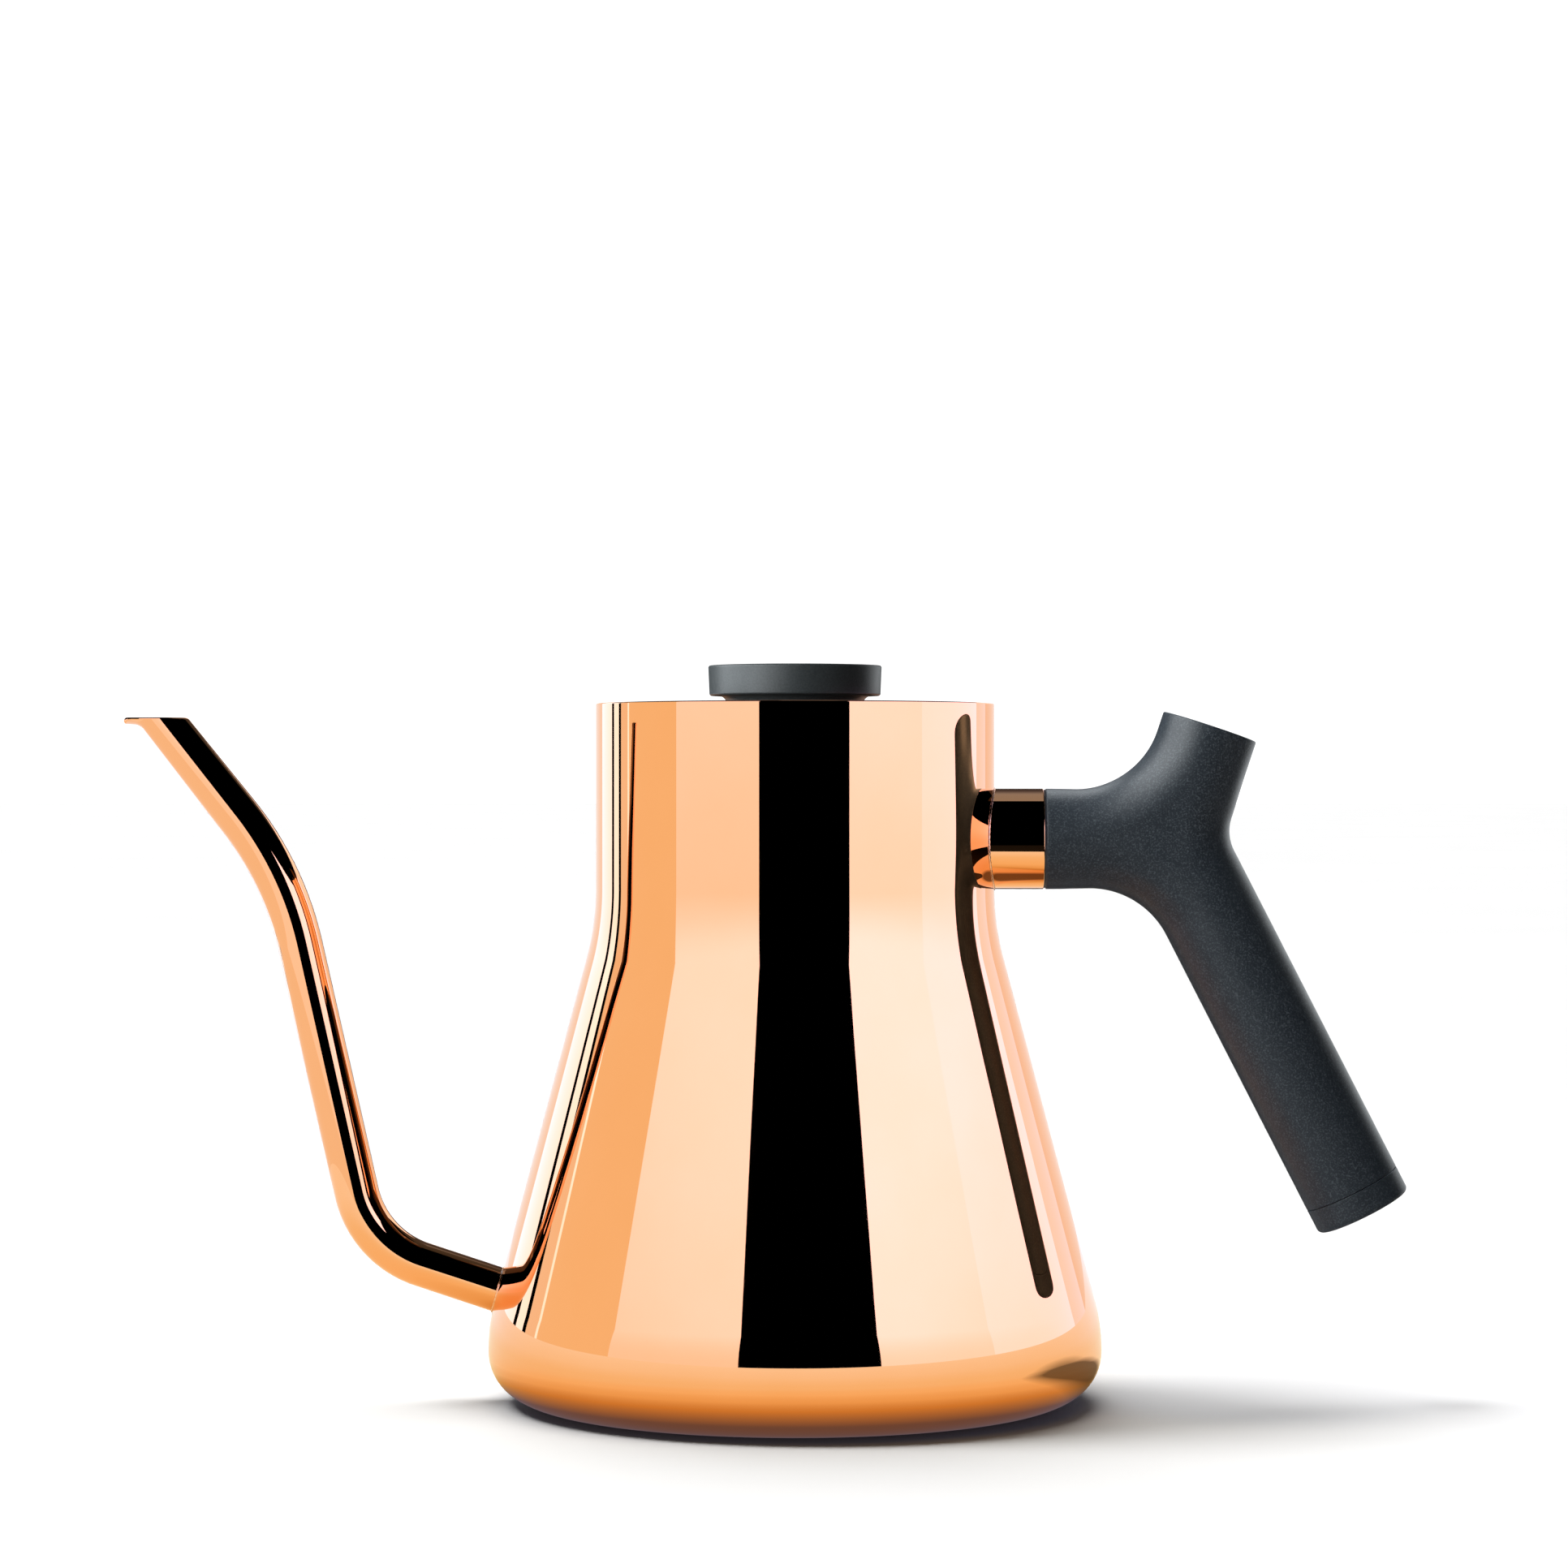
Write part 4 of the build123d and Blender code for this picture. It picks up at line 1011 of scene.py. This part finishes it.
# ---------------- finishes of the carried-over CAD parts
NODE_FINISHES = {
    "base_disc": COPPER, "mouth_collar": COLLAR_STEEL, "handle_boss": MACHINED_STEEL,
    "neck_gasket": BLACK_SILICONE, "clamp_screw": BLACK_SCREW, "weight_washer": MACHINED_STEEL,
    "counterweight": WEIGHT_STEEL, "end_cap_o_ring": BLACK_SILICONE, "lid_gasket": GREY_SILICONE,
    "lid_liner": LINER_PLASTIC, "stem_bush": MACHINED_STEEL, "probe_stem": PROBE_STEEL,
    "stem_seal": GREY_SILICONE, "stem_nut": MACHINED_STEEL, "bimetal_coil": BIMETAL,
    "lens_gasket": BLACK_SILICONE, "dial_lens": LENS, "lens_bezel": BEZEL,
    "pointer": POINTER, "pointer_shaft": PROBE_STEEL,
}
for node, material in NODE_FINISHES.items():
    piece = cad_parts[node]
    piece.data.materials.clear()
    piece.data.materials.append(material)

# ---------------- studio, in metres
class LightMaterial(Nodes):
    """Material that only gives light, as an Emission shader placed by object coordinates."""

    def __init__(self, name):
        self.material = bpy.data.materials.new(name)
        self.material.use_nodes = True
        super().__init__(self.material.node_tree)
        self.tree.nodes.clear()
        output = self.node("ShaderNodeOutputMaterial")
        self.shader = self.node("ShaderNodeEmission")
        self.spot = self.node("ShaderNodeTexCoord").outputs["Object"]
        self.link(self.shader.outputs["Emission"], output.inputs["Surface"])

    def distance(self, centre, low, high, **ends):
        """Number that runs from 0 to 1, or between other ends, over a range of distance from a point."""
        reach = self.node("ShaderNodeVectorMath", operation="DISTANCE")
        reach.inputs[1].default_value = centre
        spread = self.node("ShaderNodeMapRange", From_Min=low, From_Max=high, **ends)
        self.link(self.spot, reach.inputs[0])
        self.link(reach.outputs["Value"], spread.inputs["Value"])
        return spread.outputs["Result"]


def glow(name, low, high=None, bottom=0.0, top=0.4):
    """Light panel material: its colour changes from low to high with height, or stays low."""
    made = LightMaterial(name)
    split = made.node("ShaderNodeSeparateXYZ")
    spread = made.node("ShaderNodeMapRange", interpolation_type="SMOOTHSTEP", From_Min=bottom, From_Max=top)
    mix = made.node("ShaderNodeMix", data_type="RGBA", A=(*low, 1), B=(*(high or low), 1))
    made.link(made.spot, split.inputs["Vector"])
    made.link(split.outputs["Z"], spread.inputs["Value"])
    made.link(spread.outputs["Result"], mix.inputs["Factor"])
    made.link(mix.outputs["Result"], made.shader.inputs["Color"])
    return made.material


def reflected_only(stand):
    """A stage object that shows only in the metal's reflections and gives no other light or shadow."""
    stand.visible_camera = False
    stand.visible_diffuse = False
    stand.visible_transmission = False
    stand.visible_shadow = False
    stand.light_linking.receiver_collection = not_plastics


def named_pieces(name, pieces, state="INCLUDE"):
    """Collection for linking lights to pieces: only to these, or to all but these."""
    made = bpy.data.collections.new(name)
    for piece in pieces:
        made.objects.link(bpy.data.objects[piece])
    for entry in made.collection_objects:
        entry.light_linking.link_state = state
    return made


GRIP_PIECES = ("handle", "handle_cap")
plastics = named_pieces("plastics", (*GRIP_PIECES, "knob"))
not_plastics = named_pieces("not_plastics", (*GRIP_PIECES, "knob"), "EXCLUDE")
not_handle = named_pieces("not_handle", GRIP_PIECES, "EXCLUDE")
handle_only = named_pieces("handle_only", GRIP_PIECES)
knob_only = named_pieces("knob_only", ("knob",))

PANEL_DISTANCE = 0.6
PANEL_TOP = 0.42
HOOD_TOP = 1.1
ROOF_EDGE = 0.12
PANEL_STEP = 6.0           # widest facet of a curved panel, in degrees


def ring_row(shape, radius, height, azimuths):
    """Points at a distance from the middle; azimuth 0 is towards the camera and grows towards +X."""
    return [shape.verts.new((radius * math.sin(turn), -radius * math.cos(turn), height))
            for turn in map(math.radians, azimuths)]


def join_rows(shape, rows, closed=False):
    """Faces between neighbouring rows of points."""
    for near, far in zip(rows, rows[1:]):
        for k in range(0 if closed else 1, len(near)):
            shape.faces.new((near[k - 1], far[k - 1], far[k], near[k]))


def panel(name, start, end, material, distance=PANEL_DISTANCE, bottom=-0.02, top=PANEL_TOP):
    """Tall curved panel round the kettle between two azimuths."""
    shape = bmesh.new()
    azimuths = np.linspace(start, end, max(1, math.ceil((end - start) / PANEL_STEP)) + 1)
    join_rows(shape, [ring_row(shape, distance, height, azimuths) for height in (bottom, top)])
    reflected_only(shape_piece(name, shape, material))


DARK = glow("dark_gap", (0.0, 0.0, 0.0))
LEFT = glow("left_light", (1.2, 1.18, 1.47), (1.5, 1.58, 2.58), 0.05, 0.35)
LEFT_DIM = glow("left_dim", (1.0, 0.93, 0.78))
RIGHT = glow("right_light", (1.3, 1.42, 2.1), (1.7, 1.82, 3.4), 0.05, 0.3)
RIGHT_WHITE = glow("right_white", (1.6, 1.6, 2.7), (1.8, 1.87, 3.7), 0.05, 0.3)
RIGHT_CREAM = glow("right_cream", (1.05, 1.2, 1.6), (1.1, 1.25, 1.7))
BACK_RIGHT = glow("back_right", (1.0, 0.9, 0.85), (1.3, 1.3, 1.5), 0.2, 0.3)
EDGE_WHITE = glow("edge_white", (1.3, 1.75, 2.6), (1.5, 2.3, 3.9), 0.13, 0.33)
EDGE_ORANGE = glow("edge_orange", (1.0, 0.98, 0.98), (0.97, 0.8, 0.58), 0.13, 0.33)
BACK_ROOF_COLOUR = (0.3, 0.35, 0.45)
BACK_HOOD = glow("back_hood_tone", (0.05, 0.04, 0.04), BACK_ROOF_COLOUR, PANEL_TOP, HOOD_TOP)

# Panels by name, with the azimuths in degrees where each starts and ends.
for name, start, end, material in (
        ("gap_panel", -18.5, 31, DARK), ("left_panel", -68, -18.5, LEFT),
        ("left_dim_panel", -106, -68, LEFT_DIM),
        ("right_panel", 31, 76, RIGHT), ("right_white_panel", 76, 126, RIGHT_WHITE),
        ("right_cream_panel", 126, 140, RIGHT_CREAM), ("back_right_panel", 140, 172, BACK_RIGHT),
        ("edge_orange_panel", -172, -143, EDGE_ORANGE), ("edge_white_panel", -143, -126, EDGE_WHITE),
        ("first_seam", -126, -123.2, DARK), ("edge_cream_panel", -123.2, -117.2, EDGE_WHITE),
        ("second_seam", -117.2, -114.6, DARK), ("inner_orange_panel", -114.6, -107.5, EDGE_ORANGE),
        ("inner_white_panel", -107.5, -106, EDGE_WHITE)):
    panel(name, start, end, material)
for name, start, end, material in (("hood", -106, 142, DARK), ("back_hood", 168, 192, BACK_HOOD)):
    panel(name, start, end, material, PANEL_DISTANCE + 0.01, PANEL_TOP, HOOD_TOP)


def flat_roof(name, low, high, material):
    """Level panel over the kettle between two corners, at the top of the hood."""
    shape = bmesh.new()
    corners = [(low[0], low[1]), (high[0], low[1]), (high[0], high[1]), (low[0], high[1])]
    shape.faces.new([shape.verts.new((x, y, HOOD_TOP)) for x, y in corners])
    reflected_only(shape_piece(name, shape, material))


ROOF_REACH = PANEL_DISTANCE + 0.02
flat_roof("front_roof", (-ROOF_REACH, -ROOF_REACH), (ROOF_REACH, ROOF_EDGE), DARK)
flat_roof("back_roof", (-0.06, ROOF_EDGE), (0.16, ROOF_REACH), glow("back_roof_tone", BACK_ROOF_COLOUR))


def table_light():
    """Light from the white table with painted shade: dark where the kettle's foot shades it, a dimmer
    painted shadow to the kettle's right, and bright at its raised edge.
    """
    made = LightMaterial("table_light")
    # painted shade: the glow is darker towards the kettle's foot, where the kettle shades the table
    ramp = made.node("ShaderNodeValToRGB")
    set_ramp(ramp.color_ramp, [
        (0.0, (0.10, 0.08, 0.10)), (0.1, (0.16, 0.12, 0.14)), (0.155, (0.66, 0.38, 0.12)),
        (0.21, (0.90, 0.66, 0.34)), (0.33, (1.0, 0.84, 0.56)), (0.7, (1.0, 0.95, 0.78)),
        (1.0, (1.05, 1.15, 1.3))])
    # painted shadow: the glow dims in a spot to the kettle's right, where the kettle's shadow falls
    shade = made.distance((0.11, 0.01, 0.0), 0.035, 0.055, To_Min=0.2, To_Max=1.0)
    made.link(made.distance((0.0, 0.0, 0.0), 0.05, 0.2), ramp.inputs["Fac"])
    made.link(shade, made.shader.inputs["Strength"])
    made.link(ramp.outputs["Color"], made.shader.inputs["Color"])
    return made.material


def table_top():
    """White table with a raised edge that glows with painted light and shade: what the kettle's lower part
    and the sleeve reflect.
    """
    shape = bmesh.new()
    outline = ((0.1, 0.0), (0.15, 0.002), (0.18, 0.012), (0.2, 0.027))
    rows = [ring_row(shape, radius, height, range(0, 360, 6)) for radius, height in outline]
    shape.faces.new(rows[0])
    join_rows(shape, rows, closed=True)
    for face in shape.faces:
        face.smooth = True
    reflected_only(shape_piece("table_top", shape, table_light()))


def far_table():
    """The table further out on the spout's side, which the spout's left reflects."""
    shape = bmesh.new()
    join_rows(shape, [ring_row(shape, radius, 0.0, range(-165, -17, 6)) for radius in (0.2, 0.75)])
    reflected_only(shape_piece("far_table", shape, glow("far_table_light", (1.0, 1.0, 1.03))))


table_top()
far_table()

floor_shape = bmesh.new()
bmesh.ops.create_grid(floor_shape, x_segments=1, y_segments=1, size=30.0)
floor_paint = Paint("floor_white", Roughness=0.7)
floor_paint.tint(floor_paint.noise(2.0), (0.80, 0.80, 0.80), (0.82, 0.82, 0.82))
floor = shape_piece("floor", floor_shape, floor_paint.material)
floor.visible_glossy = False

backdrop_shape = bmesh.new()
bmesh.ops.create_uvsphere(backdrop_shape, u_segments=32, v_segments=16, radius=40.0)
backdrop = shape_piece("backdrop", backdrop_shape, glow("backdrop_white", (1.2, 1.2, 1.2)))
backdrop.visible_diffuse = backdrop.visible_glossy = backdrop.visible_shadow = False


def place_lamp(name, data, spot, target):
    """Lamp object that shines from a spot towards a target."""
    lamp = bpy.data.objects.new(name, data)
    lamp.location = spot
    lamp.rotation_euler = (Vector(spot) - Vector(target)).to_track_quat("Z", "Y").to_euler()
    lamp.visible_camera = False
    bpy.context.scene.collection.objects.link(lamp)
    return lamp


def softbox(name, spot, target, width, height, brightness, colour, receivers):
    """Rectangular soft light that reaches only its receivers and is blocked only by plastic pieces."""
    data = bpy.data.lights.new(name, "AREA")
    data.shape, data.size, data.size_y = "RECTANGLE", width, height
    data.energy, data.color = brightness * math.pi * width * height, colour
    lamp = place_lamp(name, data, spot, target)
    lamp.light_linking.receiver_collection = receivers
    lamp.light_linking.blocker_collection = plastics


def sunlight(name, azimuth, height, spread, strength):
    """Soft light from far away that passes through the handle.

    Azimuth 0 comes from the camera's side and grows towards +X.
    """
    turn, lift = math.radians(azimuth), math.radians(height)
    spot = (math.cos(lift) * math.sin(turn), -math.cos(lift) * math.cos(turn), math.sin(lift))
    data = bpy.data.lights.new(name, "SUN")
    data.energy, data.angle = strength, math.radians(spread)
    lamp = place_lamp(name, data, spot, (0, 0, 0))
    lamp.visible_glossy = False
    lamp.light_linking.blocker_collection = not_handle


sunlight("key_light", -100.0, 60.0, 20.0, 2.4)
sunlight("back_light", -163.0, 61.0, 50.0, 2.35)
COOL = (0.95, 1.0, 1.02)
COLD = (0.95, 1.0, 1.03)
NEUTRAL = (1.0, 1.0, 1.0)
KNOB_TONE = (0.93, 1.0, 1.04)
GRIP_SPOT = (0.1, 0, 0.11)
softbox("handle_softbox", (-0.333, -0.107, 0.431), GRIP_SPOT, 0.55, 0.55, 6.3, COOL, handle_only)
softbox("front_softbox", (-0.22, -0.34, 0.23), (0.12, 0, 0.1), 0.3, 0.4, 3.6, COOL, plastics)
softbox("top_softbox", (0.12, 0.3, 0.5), (0.09, 0, 0.12), 0.4, 0.3, 2.6, COLD, handle_only)
softbox("floor_softbox", (0.15, -0.05, 0.002), (0.15, -0.05, 0.1), 0.7, 0.7, 0.3, NEUTRAL, handle_only)
softbox("rim_softbox", (0.36, 0.36, 0.2), GRIP_SPOT, 0.35, 0.45, 1.8, COLD, plastics)
softbox("knob_softbox", (-0.44, -0.08, 0.3), (0, 0, 0.16), 0.8, 0.5, 6.0, KNOB_TONE, knob_only)

world = bpy.data.worlds.new("studio")
bpy.context.scene.world = world
world.use_nodes = True
sky = Nodes(world.node_tree)
lean = sky.node("ShaderNodeVectorMath", operation="DOT_PRODUCT")
lean.inputs[1].default_value = (-0.6, 0.8, 0.0)
spread = sky.node("ShaderNodeMapRange", From_Min=-1.0, From_Max=1.0, To_Min=0.0, To_Max=0.1)
background = sky.tree.nodes["Background"]
background.inputs["Color"].default_value = (1, 1, 1, 1)
sky.link(sky.node("ShaderNodeTexCoord").outputs["Generated"], lean.inputs[0])
sky.link(lean.outputs["Value"], spread.inputs["Value"])
sky.link(spread.outputs["Result"], background.inputs["Strength"])
bpy.context.scene.cycles.caustics_reflective = False
bpy.context.scene.view_settings.view_transform = "Standard"

# ---------------- camera
CAMERA_DISTANCE = 1.0
CAMERA_X = 0.019
CAMERA_HEIGHT = 0.1407
CAMERA_TURN = 1.232
FOCAL_LENGTH = 100.64
camera_data = bpy.data.cameras.new("camera")
camera_data.sensor_width = 36.0
camera_data.lens = FOCAL_LENGTH
camera_data.clip_start, camera_data.clip_end = 0.01, 200.0
camera = bpy.data.objects.new("camera", camera_data)
camera.location = (CAMERA_X, -CAMERA_DISTANCE, CAMERA_HEIGHT)
camera.rotation_euler = (math.radians(90), 0, math.radians(CAMERA_TURN))
bpy.context.scene.collection.objects.link(camera)
bpy.context.scene.camera = camera
